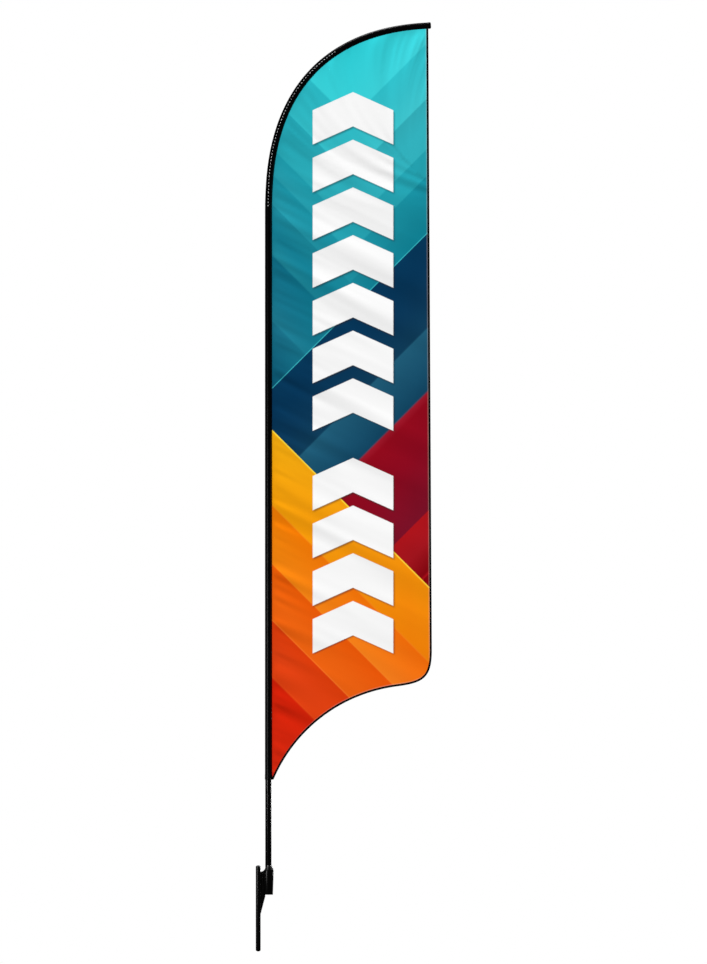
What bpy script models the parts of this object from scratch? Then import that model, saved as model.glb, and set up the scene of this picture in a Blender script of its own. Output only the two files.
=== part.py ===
"""Feather flag on a sleeved pole, which turns in the socket of a steel ground spike.

The origin is on the pole's axis at the socket's flat underside, which stands at ground level.
+Z is up, +X runs from the pole to the flag's trailing edge, and +Y goes through the cloth.
All sizes are in metres.
"""

import math

import bmesh
import bpy
from mathutils import Vector

# Clearances and facets
SEAT_GAP = 0.0003          # between pieces that rest on or are fixed to each other
RUN_GAP = 0.0004           # between pieces that turn or slide in each other
SIDES = 24                 # facets round a tube, rod, socket or sleeve
PIN_SIDES = 12             # facets round a stop pin or a weld bead
ARC_STEPS = 24             # stations along the bent tip
EDGE_STEPS = 14            # points along each half of the flag's lower edge

# Ground spike
SPIKE_RADIUS = 0.0113
SPIKE_TOP = 0.1367         # top of the dome above ground
SPIKE_DEPTH = 0.2636       # tip below ground
SPIKE_END_RISE = 0.0070    # height of the dome and of the rounded tip
WEB_THICKNESS = 0.0060
WEB_REACH = 0.0109         # gap between the spike and the socket's widest part
SADDLE_RADIUS = 0.0240     # hollow across the top of the web and the side of the collar
SADDLE_REACH = 0.0015      # hollow's middle in from the spike's surface
SADDLE_RISE = 0.0214       # hollow's middle above the socket's mouth
SADDLE_STEPS = 6           # points along the web's top edge
WEB_FOOT_DEPTH = 0.0915    # lowest point of the web, on the spike
WEB_TOE_DEPTH = 0.0080     # depth of the web where it leaves the socket's underside
WEB_TOE_REACH = 0.0068     # how far the web runs in under the socket
WELD_RADIUS = 0.0022
WELD_END_GAP = 0.0080      # weld's end to the web's end

# Socket and swivel
SOCKET_HEIGHT = 0.1100
SOCKET_WALL = 0.0031       # at the foot
SOCKET_FLARE = 0.0040      # extra outside radius at the mouth
PLUG_THICKNESS = 0.0060
WASHER_THICKNESS = 0.0020
SWIVEL_WALL = 0.0024
SWIVEL_FLOOR = 0.0030
COLLAR_SKIRT = 0.0050      # straight side of the collar above the socket's mouth
COLLAR_CONE = 0.0210       # height of the collar's cone
COLLAR_LIP = 0.0009        # wall left at the cone's top
COLLAR_SPIGOT = 0.0200     # depth of the collar in the socket

# Pole tubes, lowest first
BASE_RADIUS = 0.0145
BASE_WALL = 0.0013
SECOND_WALL = 0.0012
THIRD_WALL = 0.0012
BASE_LENGTH = 1.2100
SECOND_LENGTH = 1.1500
THIRD_LENGTH = 1.0370
TUBE_ENGAGEMENT = 0.1500   # how far a tube stands in the one below
STOP_PIN_RADIUS = 0.0020
FOOT_PLUG_FLANGE = 0.0030
FOOT_PLUG_LENGTH = 0.0250

# Bent fibreglass tip
TIP_ROD_RADIUS = 0.0060
TIP_END_RADIUS = 0.0030
TIP_ENGAGEMENT = 0.1200    # how far the tip rod stands in its reducer
REDUCER_FLOOR = 0.0030
REDUCER_LIP = 0.0040
TIP_CLEARANCE = 0.0574     # straight run between the reducer and the bend
FERRULE_WALL = 0.0010
FERRULE_HALF_STEPS = 1     # arc stations that the ferrule covers each side of the joint
TIP_CAP_RADIUS = 0.0050
TIP_CAP_LENGTH = 0.0060

# Flag outline
FLAG_WIDTH = 0.7585        # pole's axis to the trailing edge at its widest
TRAILING_DRAFT = 0.0165    # how much narrower the flag is at the top
ARC_RISE = 0.8668          # start of the bend to its end
ARC_RISE_HANDLE = 0.5172
ARC_REACH_HANDLE = 0.5268
ARC_END_SLOPE = 0.0500     # radians above level
ARC_OVERRUN = 0.0023       # sleeve's end past the trailing edge
FLAG_DROP = 2.6370         # start of the bend to the flag's lowest corner
CORNER_RISE = 0.5991       # lowest corner to the top of the rounded corner
HOLLOW_START_REACH = 0.0065   # sleeve to the start of the hollow
HOLLOW_START_ANGLE = 1.1660
HOLLOW_START_HANDLE = 0.2344
HOLLOW_END_INSET = 0.1590  # trailing edge to the end of the hollow
HOLLOW_END_RISE = 0.4324
HOLLOW_END_ANGLE = 0.1320
HOLLOW_END_HANDLE = 0.2848
CORNER_START_HANDLE = 0.1202
CORNER_END_HANDLE = 0.1298
HEM_WIDTH = 0.0098
HEM_THICKNESS = 0.0020
PANEL_THICKNESS = 0.0010

# Sleeve
SLEEVE_WALL = 0.0007
SLEEVE_SEAM = 0.0010       # how far the sleeve's middle sits towards the flag
SLEEVE_END_HALF_WIDTH = 0.0146
SLEEVE_SETTLE = 0.25       # share of the bend over which the sleeve flattens
SLEEVE_TAIL = 0.0015       # sleeve's mouth below the flag's corner
CUFF_LENGTH = 0.0250
POCKET_LENGTH = 0.0120
POCKET_WALL = 0.0012
POCKET_SWELL = 0.0006      # how far the pocket stands proud of the sleeve

FLAT_FACTOR = math.cos(math.pi / SIDES)


def around(radius, gap):
    """Corner radius of a faceted bore whose flats clear a round of the given radius."""
    return (radius + gap) / FLAT_FACTOR


def within(bore, gap):
    """Radius that fits in a faceted bore with the given gap at its flats."""
    return bore * FLAT_FACTOR - gap


# Radii that follow from what fits in what
SWIVEL_BORE = around(BASE_RADIUS, RUN_GAP)
SWIVEL_RADIUS = SWIVEL_BORE + SWIVEL_WALL
SOCKET_BORE = around(SWIVEL_RADIUS, RUN_GAP)
SOCKET_FOOT_RADIUS = SOCKET_BORE + SOCKET_WALL
SOCKET_TOP_RADIUS = SOCKET_FOOT_RADIUS + SOCKET_FLARE
SPIKE_OFFSET = SOCKET_TOP_RADIUS + WEB_REACH + SPIKE_RADIUS
BASE_BORE = BASE_RADIUS - BASE_WALL
SECOND_RADIUS = within(BASE_BORE, RUN_GAP)
SECOND_BORE = SECOND_RADIUS - SECOND_WALL
THIRD_RADIUS = within(SECOND_BORE, RUN_GAP)
THIRD_BORE = THIRD_RADIUS - THIRD_WALL
REDUCER_BORE = around(TIP_ROD_RADIUS, RUN_GAP)
FERRULE_BORE = around(TIP_ROD_RADIUS, SEAT_GAP)
FERRULE_RADIUS = FERRULE_BORE + FERRULE_WALL
SLEEVE_BORE = around(BASE_RADIUS, RUN_GAP)
SLEEVE_HALF_WIDTH = SLEEVE_BORE + SLEEVE_WALL + SLEEVE_SEAM
SLEEVE_FLAG_SIDE = SLEEVE_HALF_WIDTH + SLEEVE_SEAM + SEAT_GAP

# Heights that follow from what stands on what
WASHER_FOOT = PLUG_THICKNESS + SEAT_GAP
SWIVEL_FOOT = WASHER_FOOT + WASHER_THICKNESS + SEAT_GAP
FLANGE_FOOT = SWIVEL_FOOT + SWIVEL_FLOOR + SEAT_GAP
BASE_FOOT = FLANGE_FOOT + FOOT_PLUG_FLANGE + SEAT_GAP
BASE_TOP = BASE_FOOT + BASE_LENGTH
SECOND_FOOT = BASE_TOP - TUBE_ENGAGEMENT
SECOND_TOP = SECOND_FOOT + SECOND_LENGTH
THIRD_FOOT = SECOND_TOP - TUBE_ENGAGEMENT
THIRD_TOP = THIRD_FOOT + THIRD_LENGTH
REDUCER_TOP = THIRD_TOP + SEAT_GAP + REDUCER_LIP
ROD_FOOT = REDUCER_TOP - TIP_ENGAGEMENT
BEND_START = REDUCER_TOP + TIP_CLEARANCE
FLAG_BOTTOM = BEND_START - FLAG_DROP
SLEEVE_MOUTH = FLAG_BOTTOM - SLEEVE_TAIL


def clear_scene():
    for obj in list(bpy.data.objects):
        bpy.data.objects.remove(obj, do_unlink=True)


def finish_material(name, color, roughness, metallic=0.0):
    """A Principled material with the piece's own colour."""
    material = bpy.data.materials.new(name)
    material.use_nodes = True
    shader = material.node_tree.nodes["Principled BSDF"]
    shader.inputs["Base Color"].default_value = (*color, 1.0)
    shader.inputs["Roughness"].default_value = roughness
    shader.inputs["Metallic"].default_value = metallic
    material.diffuse_color = (*color, 1.0)
    return material


def steel_black():
    return finish_material("black_powder_coat", (0.012, 0.012, 0.013), 0.35)


def tube_black():
    return finish_material("black_anodised_tube", (0.015, 0.015, 0.016), 0.28, 0.6)


def bright_steel():
    return finish_material("bright_steel", (0.55, 0.55, 0.56), 0.35, 1.0)


def nylon_grey():
    return finish_material("grey_nylon", (0.18, 0.18, 0.19), 0.55)


def nylon_black():
    return finish_material("black_nylon", (0.014, 0.014, 0.015), 0.50)


def fibreglass():
    return finish_material("fibreglass_rod", (0.020, 0.020, 0.021), 0.30)


def black_cloth():
    return finish_material("black_sleeve_cloth", (0.010, 0.010, 0.011), 0.85)


def printed_cloth():
    return finish_material("printed_flag_cloth", (0.03, 0.42, 0.50), 0.80)


def body_frame(name, height):
    """An empty on the pole's axis, which carries the pieces of one moving body."""
    empty = bpy.data.objects.new(name, None)
    empty.location = (0.0, 0.0, height)
    bpy.context.collection.objects.link(empty)
    return empty


def add_object(name, shape, material, body, place):
    """Make an object from a bmesh, at a place in the world, on the body that carries it."""
    bmesh.ops.recalc_face_normals(shape, faces=shape.faces)
    mesh = bpy.data.meshes.new(name)
    shape.to_mesh(mesh)
    shape.free()
    mesh.materials.append(material)
    obj = bpy.data.objects.new(name, mesh)
    bpy.context.collection.objects.link(obj)
    obj.parent = body
    obj.location = Vector(place) - body.location
    return obj


def shade_round(obj):
    obj.data.shade_smooth()
    obj.data.set_sharp_from_angle(angle=math.radians(30))


def turned(name, profile, material, body, place, sides=SIDES):
    """Spin a closed outline of (radius, height) points round the vertical."""
    shape = bmesh.new()
    corners = [shape.verts.new((radius, 0.0, height)) for radius, height in profile]
    edges = [shape.edges.new((corners[i - 1], corners[i])) for i in range(len(corners))]
    on_axis = [edge for edge in edges if all(v.co.x == 0.0 for v in edge.verts)]
    bmesh.ops.delete(shape, geom=on_axis, context="EDGES_FACES")
    outline = shape.verts[:] + shape.edges[:]
    bmesh.ops.spin(shape, geom=outline, cent=(0, 0, 0), axis=(0, 0, 1),
                   angle=2 * math.pi, steps=sides, use_merge=True)
    bmesh.ops.remove_doubles(shape, verts=shape.verts, dist=0.000001)
    obj = add_object(name, shape, material, body, place)
    shade_round(obj)
    return obj


def tube_profile(bore, radius, low, high):
    return [(bore, low), (radius, low), (radius, high), (bore, high)]


def join_rings(shape, rings):
    """Skin a row of rings with quads."""
    for low, high in zip(rings, rings[1:]):
        for i in range(len(low)):
            shape.faces.new((low[i - 1], low[i], high[i], high[i - 1]))


def swept(name, outer, inner, material, body, place, inner_closed=False):
    """Skin rows of outer and inner rings; without inner rings the ends are capped."""
    shape = bmesh.new()
    skin = [[shape.verts.new(point) for point in ring] for ring in outer]
    join_rings(shape, skin)
    if inner:
        lining = [[shape.verts.new(point) for point in ring] for ring in inner]
        join_rings(shape, lining)
        join_rings(shape, [skin[0], lining[0]])
        if inner_closed:
            shape.faces.new(lining[-1])
            shape.faces.new(skin[-1])
        else:
            join_rings(shape, [skin[-1], lining[-1]])
    else:
        shape.faces.new(skin[0])
        shape.faces.new(skin[-1])
    obj = add_object(name, shape, material, body, place)
    shade_round(obj)
    return obj


def plate(name, outline, thickness, material, body):
    """Extrude a closed outline of (x, z) points through Y, evenly about the middle."""
    shape = bmesh.new()
    front = [shape.verts.new((x, -thickness / 2, z)) for x, z in outline]
    face = shape.faces.new(front)
    grown = bmesh.ops.extrude_face_region(shape, geom=[face])
    moved = [item for item in grown["geom"] if isinstance(item, bmesh.types.BMVert)]
    bmesh.ops.translate(shape, verts=moved, vec=(0.0, thickness, 0.0))
    return add_object(name, shape, material, body, (0.0, 0.0, 0.0))


def bezier(points, t):
    a, b, c, d = points
    u = 1.0 - t
    return u ** 3 * a + 3 * u * u * t * b + 3 * u * t * t * c + t ** 3 * d


def bezier_tangent(points, t):
    a, b, c, d = points
    u = 1.0 - t
    return (3 * u * u * (b - a) + 6 * u * t * (c - b) + 3 * t * t * (d - c)).normalized()


def smooth_step(value):
    value = min(max(value, 0.0), 1.0)
    return value * value * (3.0 - 2.0 * value)


def mix(start, end, share):
    return start + (end - start) * share


def bend_points():
    """Control points of the pole's bend, as (x, z)."""
    end = Vector((FLAG_WIDTH - TRAILING_DRAFT + ARC_OVERRUN, BEND_START + ARC_RISE))
    slope = Vector((math.cos(ARC_END_SLOPE), math.sin(ARC_END_SLOPE)))
    start = Vector((0.0, BEND_START))
    return start, start + Vector((0.0, ARC_RISE_HANDLE)), end - slope * ARC_REACH_HANDLE, end


def bend_station(t, beyond=0.0):
    """Middle of the pole and its outward normal, both in the XZ plane."""
    points = bend_points()
    tangent = bezier_tangent(points, t)
    middle = bezier(points, t) + tangent * beyond
    return middle, Vector((-tangent.y, tangent.x))


def oval_ring(middle, normal, half_width, half_depth, shift, height):
    """Ring of points round the pole's middle, moved towards the flag by shift."""
    ring = []
    for i in range(SIDES):
        angle = 2 * math.pi * i / SIDES
        along = half_width * math.cos(angle) - shift
        x = middle.x + normal.x * along
        z = middle.y + normal.y * along
        ring.append((x, half_depth * math.sin(angle), z - height))
    return ring


def past_ferrule(t):
    """Share of the way from the ferrule's upper end to the end of the bend."""
    ferrule_end = 0.5 + FERRULE_HALF_STEPS / ARC_STEPS
    return max(0.0, (t - ferrule_end) / (1.0 - ferrule_end))


def rod_radius(t):
    """The tip rod keeps its radius to the ferrule's end and then tapers."""
    return mix(TIP_ROD_RADIUS, TIP_END_RADIUS, past_ferrule(t))


def sleeve_bore_depth(t):
    """The sleeve is round on the tubes, then flattens onto the ferrule and the tip cap."""
    fit = around(mix(FERRULE_RADIUS, TIP_CAP_RADIUS, past_ferrule(t)), SEAT_GAP)
    return mix(SLEEVE_BORE, fit, smooth_step(t / SLEEVE_SETTLE))


def sleeve_half_width(t):
    return mix(SLEEVE_HALF_WIDTH, SLEEVE_END_HALF_WIDTH, t)


def flag_side_of_sleeve():
    """Line just off the sleeve's flag side, as (x, z) points from the mouth to the tip."""
    line = [Vector((SLEEVE_FLAG_SIDE, SLEEVE_MOUTH))]
    for i in range(ARC_STEPS + 1):
        t = i / ARC_STEPS
        middle, normal = bend_station(t)
        line.append(middle - normal * (sleeve_half_width(t) + SLEEVE_SEAM + SEAT_GAP))
    return line


def lower_curves():
    """The flag's lower edge: a hollow curve from the sleeve, then the rounded corner."""
    start = Vector((SLEEVE_FLAG_SIDE + HOLLOW_START_REACH, FLAG_BOTTOM))
    middle = Vector((FLAG_WIDTH - HOLLOW_END_INSET, FLAG_BOTTOM + HOLLOW_END_RISE))
    end = Vector((FLAG_WIDTH, FLAG_BOTTOM + CORNER_RISE))
    rise = Vector((math.cos(HOLLOW_START_ANGLE), math.sin(HOLLOW_START_ANGLE)))
    level = Vector((math.cos(HOLLOW_END_ANGLE), math.sin(HOLLOW_END_ANGLE)))
    hollow = (start, start + rise * HOLLOW_START_HANDLE, middle - level * HOLLOW_END_HANDLE,
              middle)
    corner = (middle, middle + level * CORNER_START_HANDLE,
              end - Vector((0.0, CORNER_END_HANDLE)), end)
    return hollow, corner


def lower_edge(inset):
    """The lower edge moved into the flag by inset, cut off at the sleeve."""
    line = []
    for curve, first in zip(lower_curves(), (0, 1)):
        for i in range(first, EDGE_STEPS + 1):
            tangent = bezier_tangent(curve, i / EDGE_STEPS)
            point = bezier(curve, i / EDGE_STEPS)
            line.append(point + Vector((-tangent.y, tangent.x)) * inset)
    return cut_start(line, SLEEVE_FLAG_SIDE)


def cut_start(line, limit):
    """Drop the points before x reaches the limit and begin on the limit itself."""
    if line[0].x >= limit:
        return line
    index = next(i for i, point in enumerate(line) if point.x > limit)
    before, after = line[index - 1], line[index]
    share = (limit - before.x) / (after.x - before.x)
    return [before.lerp(after, share)] + line[index:]


def trailing_x(height, inset):
    """X of the trailing edge, moved into the flag by inset."""
    low = FLAG_BOTTOM + CORNER_RISE
    share = (height - low) / (BEND_START + ARC_RISE - low)
    return FLAG_WIDTH - TRAILING_DRAFT * share - inset


def line_height(line, x):
    """Height of a line of points at a given x, read from its far end."""
    for low, high in zip(line[-2::-1], line[:0:-1]):
        if low.x <= x <= high.x:
            return mix(low.y, high.y, (x - low.x) / (high.x - low.x))
    return line[-1].y


def corner_under_sleeve(inset):
    """Where the trailing edge, moved in by inset, meets the sleeve's flag side."""
    line = flag_side_of_sleeve()
    height = BEND_START + ARC_RISE
    for _ in range(4):
        x = trailing_x(height, inset)
        height = line_height(line, x)
    return Vector((x, height))


def make_spike(body):
    """Round bar with a domed top and a rounded tip."""
    rise = SPIKE_END_RISE
    arc = [(SPIKE_RADIUS * math.cos(a), rise * math.sin(a))
           for a in (0.0, math.pi / 8, math.pi / 4, 3 * math.pi / 8)]
    top = [(r, SPIKE_TOP - rise + h) for r, h in arc] + [(0.0, SPIKE_TOP)]
    tip = [(0.0, -SPIKE_DEPTH)] + [(r, rise - SPIKE_DEPTH - h) for r, h in reversed(arc)]
    turned("spike_rod", tip + top, steel_black(), body, (-SPIKE_OFFSET, 0.0, 0.0))


def socket_radius(height):
    return SOCKET_FOOT_RADIUS + SOCKET_FLARE * height / SOCKET_HEIGHT


def saddle_middle():
    """Middle of the round hollow above the web, as (x, z)."""
    return SPIKE_RADIUS - SADDLE_REACH - SPIKE_OFFSET, SOCKET_HEIGHT + SADDLE_RISE


def make_web(body):
    """Plate between the spike and the socket, with a hollow top and a sloping foot."""
    spike_side = SPIKE_RADIUS + SEAT_GAP - SPIKE_OFFSET
    socket_side = -SOCKET_TOP_RADIUS - SEAT_GAP
    saddle_x, saddle_z = saddle_middle()
    hollow = []
    for i in range(SADDLE_STEPS + 1):
        x = mix(spike_side, socket_side, i / SADDLE_STEPS)
        hollow.append((x, saddle_z - math.sqrt(SADDLE_RADIUS ** 2 - (x - saddle_x) ** 2)))
    foot_side = -SOCKET_FOOT_RADIUS - SEAT_GAP
    toe = WEB_TOE_REACH - SOCKET_FOOT_RADIUS
    rest = [(foot_side, 0.0), (foot_side, -SEAT_GAP), (toe, -SEAT_GAP), (toe, -WEB_TOE_DEPTH),
            (spike_side, -WEB_FOOT_DEPTH)]
    plate("gusset_web", hollow + rest, WEB_THICKNESS, steel_black(), body)


def bead(name, low, high, body):
    """One round weld bead between two points."""
    axis = (high - low).normalized()
    side = axis.cross(Vector((0.0, 1.0, 0.0))).normalized()
    other = axis.cross(side)
    rings = []
    for middle, share in ((low, 0.5), (low + axis * WELD_RADIUS, 1.0),
                          (high - axis * WELD_RADIUS, 1.0), (high, 0.5)):
        ring = []
        for i in range(PIN_SIDES):
            angle = 2 * math.pi * i / PIN_SIDES
            spread = side * math.cos(angle) + other * math.sin(angle)
            ring.append(middle + spread * WELD_RADIUS * share)
        rings.append(ring)
    swept(name, rings, None, steel_black(), body, (0, 0, 0))


def make_welds(body):
    """Beads in the four corners that the web makes with the spike and the socket."""
    out = WEB_THICKNESS / 2 + SEAT_GAP + WELD_RADIUS
    top = SOCKET_HEIGHT - WELD_END_GAP
    low = WELD_END_GAP - WEB_FOOT_DEPTH
    reach = SPIKE_RADIUS + SEAT_GAP + WELD_RADIUS
    spike_x = -SPIKE_OFFSET + math.sqrt(reach ** 2 - out ** 2)
    for side, y in (("front", -out), ("back", out)):
        bead("spike_weld_" + side, Vector((spike_x, y, low)), Vector((spike_x, y, top)), body)
        ends = []
        for height in (WELD_RADIUS, top):
            reach = socket_radius(height) + SEAT_GAP + WELD_RADIUS
            ends.append(Vector((-math.sqrt(reach ** 2 - out ** 2), y, height)))
        bead("socket_weld_" + side, *ends, body)


def hidden_bar(name, radius, length, sides, place, turn):
    """A round bar that only cuts other pieces."""
    bpy.ops.mesh.primitive_cylinder_add(vertices=sides, radius=radius, depth=length,
                                        location=place, rotation=turn)
    bar = bpy.context.object
    bar.name = name
    bar.display_type = "WIRE"
    bar.hide_render = True
    return bar


def cut_away(piece, cutter):
    cut = piece.modifiers.new(cutter.name, "BOOLEAN")
    cut.operation = "DIFFERENCE"
    cut.solver = "EXACT"
    cut.object = cutter


def make_socket(body):
    """Tapered steel tube, welded shut at the foot, with a nylon collar in its mouth."""
    wall = [(SOCKET_BORE, 0.0), (SOCKET_FOOT_RADIUS, 0.0), (SOCKET_TOP_RADIUS, SOCKET_HEIGHT),
            (SOCKET_BORE, SOCKET_HEIGHT)]
    turned("socket_tube", wall, steel_black(), body, (0, 0, 0))
    disc = within(SOCKET_BORE, SEAT_GAP)
    plug = [(0.0, 0.0), (disc, 0.0), (disc, PLUG_THICKNESS), (0.0, PLUG_THICKNESS)]
    turned("socket_plug", plug, steel_black(), body, (0, 0, 0))
    washer = tube_profile(disc / 2, disc, 0.0, WASHER_THICKNESS)
    turned("thrust_washer", washer, nylon_grey(), body, (0, 0, WASHER_FOOT))
    seat = SEAT_GAP
    cone = seat + COLLAR_SKIRT + COLLAR_CONE
    collar = [(SWIVEL_BORE, -COLLAR_SPIGOT), (disc, -COLLAR_SPIGOT), (disc, seat),
              (SOCKET_TOP_RADIUS, seat), (SOCKET_TOP_RADIUS, seat + COLLAR_SKIRT),
              (SWIVEL_BORE + COLLAR_LIP, cone), (SWIVEL_BORE, cone)]
    ring = turned("mouth_collar", collar, nylon_black(), body, (0, 0, SOCKET_HEIGHT))
    saddle_x, saddle_z = saddle_middle()
    cutter = hidden_bar("saddle_cutter", SADDLE_RADIUS, 3 * SOCKET_TOP_RADIUS, SIDES,
                        (saddle_x, 0.0, saddle_z), (math.pi / 2, 0.0, 0.0))
    cut_away(ring, cutter)


def make_swivel(body):
    """Nylon cup that the pole stands in and that turns on the washer."""
    height = SOCKET_HEIGHT - COLLAR_SPIGOT - SEAT_GAP - SWIVEL_FOOT
    cup = [(0.0, 0.0), (SWIVEL_RADIUS, 0.0), (SWIVEL_RADIUS, height), (SWIVEL_BORE, height),
           (SWIVEL_BORE, SWIVEL_FLOOR), (0.0, SWIVEL_FLOOR)]
    turned("swivel_cup", cup, nylon_grey(), body, (0, 0, SWIVEL_FOOT))


def pinned_tube(prefix, bore, radius, foot, top, next_foot, body):
    """A tube and the pin across it that the next tube stands on."""
    wall = tube_profile(bore, radius, 0.0, top - foot)
    tube = turned(prefix + "_tube", wall, tube_black(), body, (0, 0, foot))
    pin_height = next_foot - SEAT_GAP - STOP_PIN_RADIUS
    across = (0.0, math.pi / 2, 0.0)
    cutter = hidden_bar(prefix + "_pin_cutter", STOP_PIN_RADIUS + SEAT_GAP, 4 * radius, PIN_SIDES,
                        (0, 0, pin_height), across)
    cut_away(tube, cutter)
    half = within(radius, 0.0)
    pin = [(0.0, -half), (STOP_PIN_RADIUS, -half), (STOP_PIN_RADIUS, half), (0.0, half)]
    rivet = turned(prefix + "_stop_pin", pin, bright_steel(), body, (0, 0, pin_height),
                   PIN_SIDES)
    rivet.rotation_euler = across


def make_base_pole(body):
    """Lowest tube, its foot plug and its stop pin."""
    flange = within(BASE_RADIUS, 0.0)
    spigot = within(BASE_BORE, SEAT_GAP)
    top = FOOT_PLUG_FLANGE + FOOT_PLUG_LENGTH
    plug = [(0.0, 0.0), (flange, 0.0), (flange, FOOT_PLUG_FLANGE), (spigot, FOOT_PLUG_FLANGE),
            (spigot, top), (0.0, top)]
    turned("foot_plug", plug, nylon_black(), body, (0, 0, FLANGE_FOOT))
    pinned_tube("base", BASE_BORE, BASE_RADIUS, BASE_FOOT, BASE_TOP, SECOND_FOOT, body)


def make_second_pole(body):
    pinned_tube("second", SECOND_BORE, SECOND_RADIUS, SECOND_FOOT, SECOND_TOP, THIRD_FOOT, body)


def make_third_pole(body):
    """Highest tube, with the nylon reducer that the thin tip rod stands in."""
    wall = tube_profile(THIRD_BORE, THIRD_RADIUS, 0.0, THIRD_LENGTH)
    turned("third_tube", wall, tube_black(), body, (0, 0, THIRD_FOOT))
    spigot = within(THIRD_BORE, SEAT_GAP)
    floor_top = ROD_FOOT - SEAT_GAP - REDUCER_TOP
    bottom = floor_top - REDUCER_FLOOR
    cup = [(0.0, bottom), (spigot, bottom), (spigot, -REDUCER_LIP), (THIRD_RADIUS, -REDUCER_LIP),
           (THIRD_RADIUS, 0.0), (REDUCER_BORE, 0.0), (REDUCER_BORE, floor_top), (0.0, floor_top)]
    turned("tip_reducer", cup, nylon_black(), body, (0, 0, REDUCER_TOP))


def round_rings(stations, radius_at, height):
    rings = []
    for t, beyond in stations:
        middle, normal = bend_station(t, beyond)
        radius = radius_at(t)
        rings.append(oval_ring(middle, normal, radius, radius, 0.0, height))
    return rings


def make_tip_rods(body):
    """Two fibreglass rods end to end in a ferrule, with a cap on the upper one's end."""
    half = ARC_STEPS // 2
    height = BEND_START
    lower = [(0.0, ROD_FOOT - BEND_START)] + [(i / ARC_STEPS, 0.0) for i in range(half)]
    lower.append((0.5, -SEAT_GAP / 2))
    upper = [(0.5, SEAT_GAP / 2)] + [(i / ARC_STEPS, 0.0) for i in range(half + 1, ARC_STEPS + 1)]
    place = (0, 0, height)
    swept("tip_rod_lower", round_rings(lower, rod_radius, height), None, fibreglass(), body, place)
    swept("tip_rod_upper", round_rings(upper, rod_radius, height), None, fibreglass(), body, place)
    first = half - FERRULE_HALF_STEPS
    ferrule = [(i / ARC_STEPS, 0.0) for i in range(first, half + FERRULE_HALF_STEPS + 1)]
    outer = round_rings(ferrule, lambda t: FERRULE_RADIUS, height)
    inner = round_rings(ferrule, lambda t: FERRULE_BORE, height)
    swept("tip_ferrule", outer, inner, bright_steel(), body, place)
    cap = []
    for beyond, share in ((0.0, 0.9), (0.3, 1.0), (0.8, 0.9), (1.0, 0.5)):
        middle, normal = bend_station(1.0, SEAT_GAP + TIP_CAP_LENGTH * beyond)
        radius = TIP_CAP_RADIUS * share
        cap.append(oval_ring(middle, normal, radius, radius, 0.0, height))
    swept("tip_cap", cap, None, nylon_black(), body, place)


def sleeve_rings(stations, height):
    """Outer and inner rings of the sleeve at (t, distance beyond) stations."""
    outer, inner = [], []
    for t, beyond in stations:
        middle, normal = bend_station(t, beyond)
        wide = sleeve_half_width(t)
        bore = sleeve_bore_depth(t)
        outer.append(oval_ring(middle, normal, wide, bore + SLEEVE_WALL, SLEEVE_SEAM, height))
        narrow = wide - SLEEVE_WALL - SLEEVE_SEAM
        inner.append(oval_ring(middle, normal, narrow, bore, 0.0, height))
    return outer, inner


def make_sleeve(body):
    """Cloth tunnel round the pole, its hemmed mouth and the closed pocket at the tip."""
    height = BEND_START
    place = (0, 0, height)
    seam = SLEEVE_MOUTH + CUFF_LENGTH - BEND_START
    tunnel = [(0.0, seam + SEAT_GAP)] + [(i / ARC_STEPS, 0.0) for i in range(ARC_STEPS + 1)]
    swept("sleeve", *sleeve_rings(tunnel, height), black_cloth(), body, place)
    cuff = [(0.0, SLEEVE_MOUTH - BEND_START), (0.0, seam)]
    swept("sleeve_cuff", *sleeve_rings(cuff, height), black_cloth(), body, place)
    outer, inner = [], []
    wide = SLEEVE_END_HALF_WIDTH + POCKET_SWELL
    deep = TIP_CAP_RADIUS + SEAT_GAP + POCKET_WALL
    for share, swell in ((0.0, 0.97), (0.35, 1.0), (0.7, 1.0), (0.92, 0.86), (1.0, 0.62)):
        middle, normal = bend_station(1.0, SEAT_GAP + POCKET_LENGTH * share)
        outer.append(oval_ring(middle, normal, wide * swell, deep * swell, SLEEVE_SEAM, height))
    floor = 1.0 - POCKET_WALL / POCKET_LENGTH
    for share, swell in ((0.0, 0.97), (0.35, 1.0), (0.7, 0.97), (floor, 0.76)):
        middle, normal = bend_station(1.0, SEAT_GAP + POCKET_LENGTH * share)
        inner.append(oval_ring(middle, normal, (wide - POCKET_WALL) * swell,
                               (deep - POCKET_WALL) / FLAT_FACTOR * swell, SLEEVE_SEAM, height))
    swept("tip_pocket", outer, inner, black_cloth(), body, place, inner_closed=True)


def make_flag(body):
    """Printed panel and the two hems round its free edges."""
    low = FLAG_BOTTOM + CORNER_RISE
    nub = [Vector((SLEEVE_FLAG_SIDE, SLEEVE_MOUTH))]
    bottom_hem = nub + lower_edge(0.0) + list(reversed(lower_edge(HEM_WIDTH)))
    plate("bottom_hem", bottom_hem, HEM_THICKNESS, black_cloth(), body)
    top_out = corner_under_sleeve(0.0)
    top_in = corner_under_sleeve(HEM_WIDTH)
    side_hem = [Vector((FLAG_WIDTH - HEM_WIDTH, low + SEAT_GAP)),
                Vector((FLAG_WIDTH, low + SEAT_GAP)), top_out, top_in]
    plate("trailing_hem", side_hem, HEM_THICKNESS, black_cloth(), body)
    inset = HEM_WIDTH + SEAT_GAP
    panel = lower_edge(inset)
    top_corner = corner_under_sleeve(inset)
    leading = [point for point in flag_side_of_sleeve()
               if point.x < top_corner.x and point.y > panel[0].y]
    outline = panel + [top_corner] + list(reversed(leading))
    plate("flag_panel", outline, PANEL_THICKNESS, printed_cloth(), body)


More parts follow.
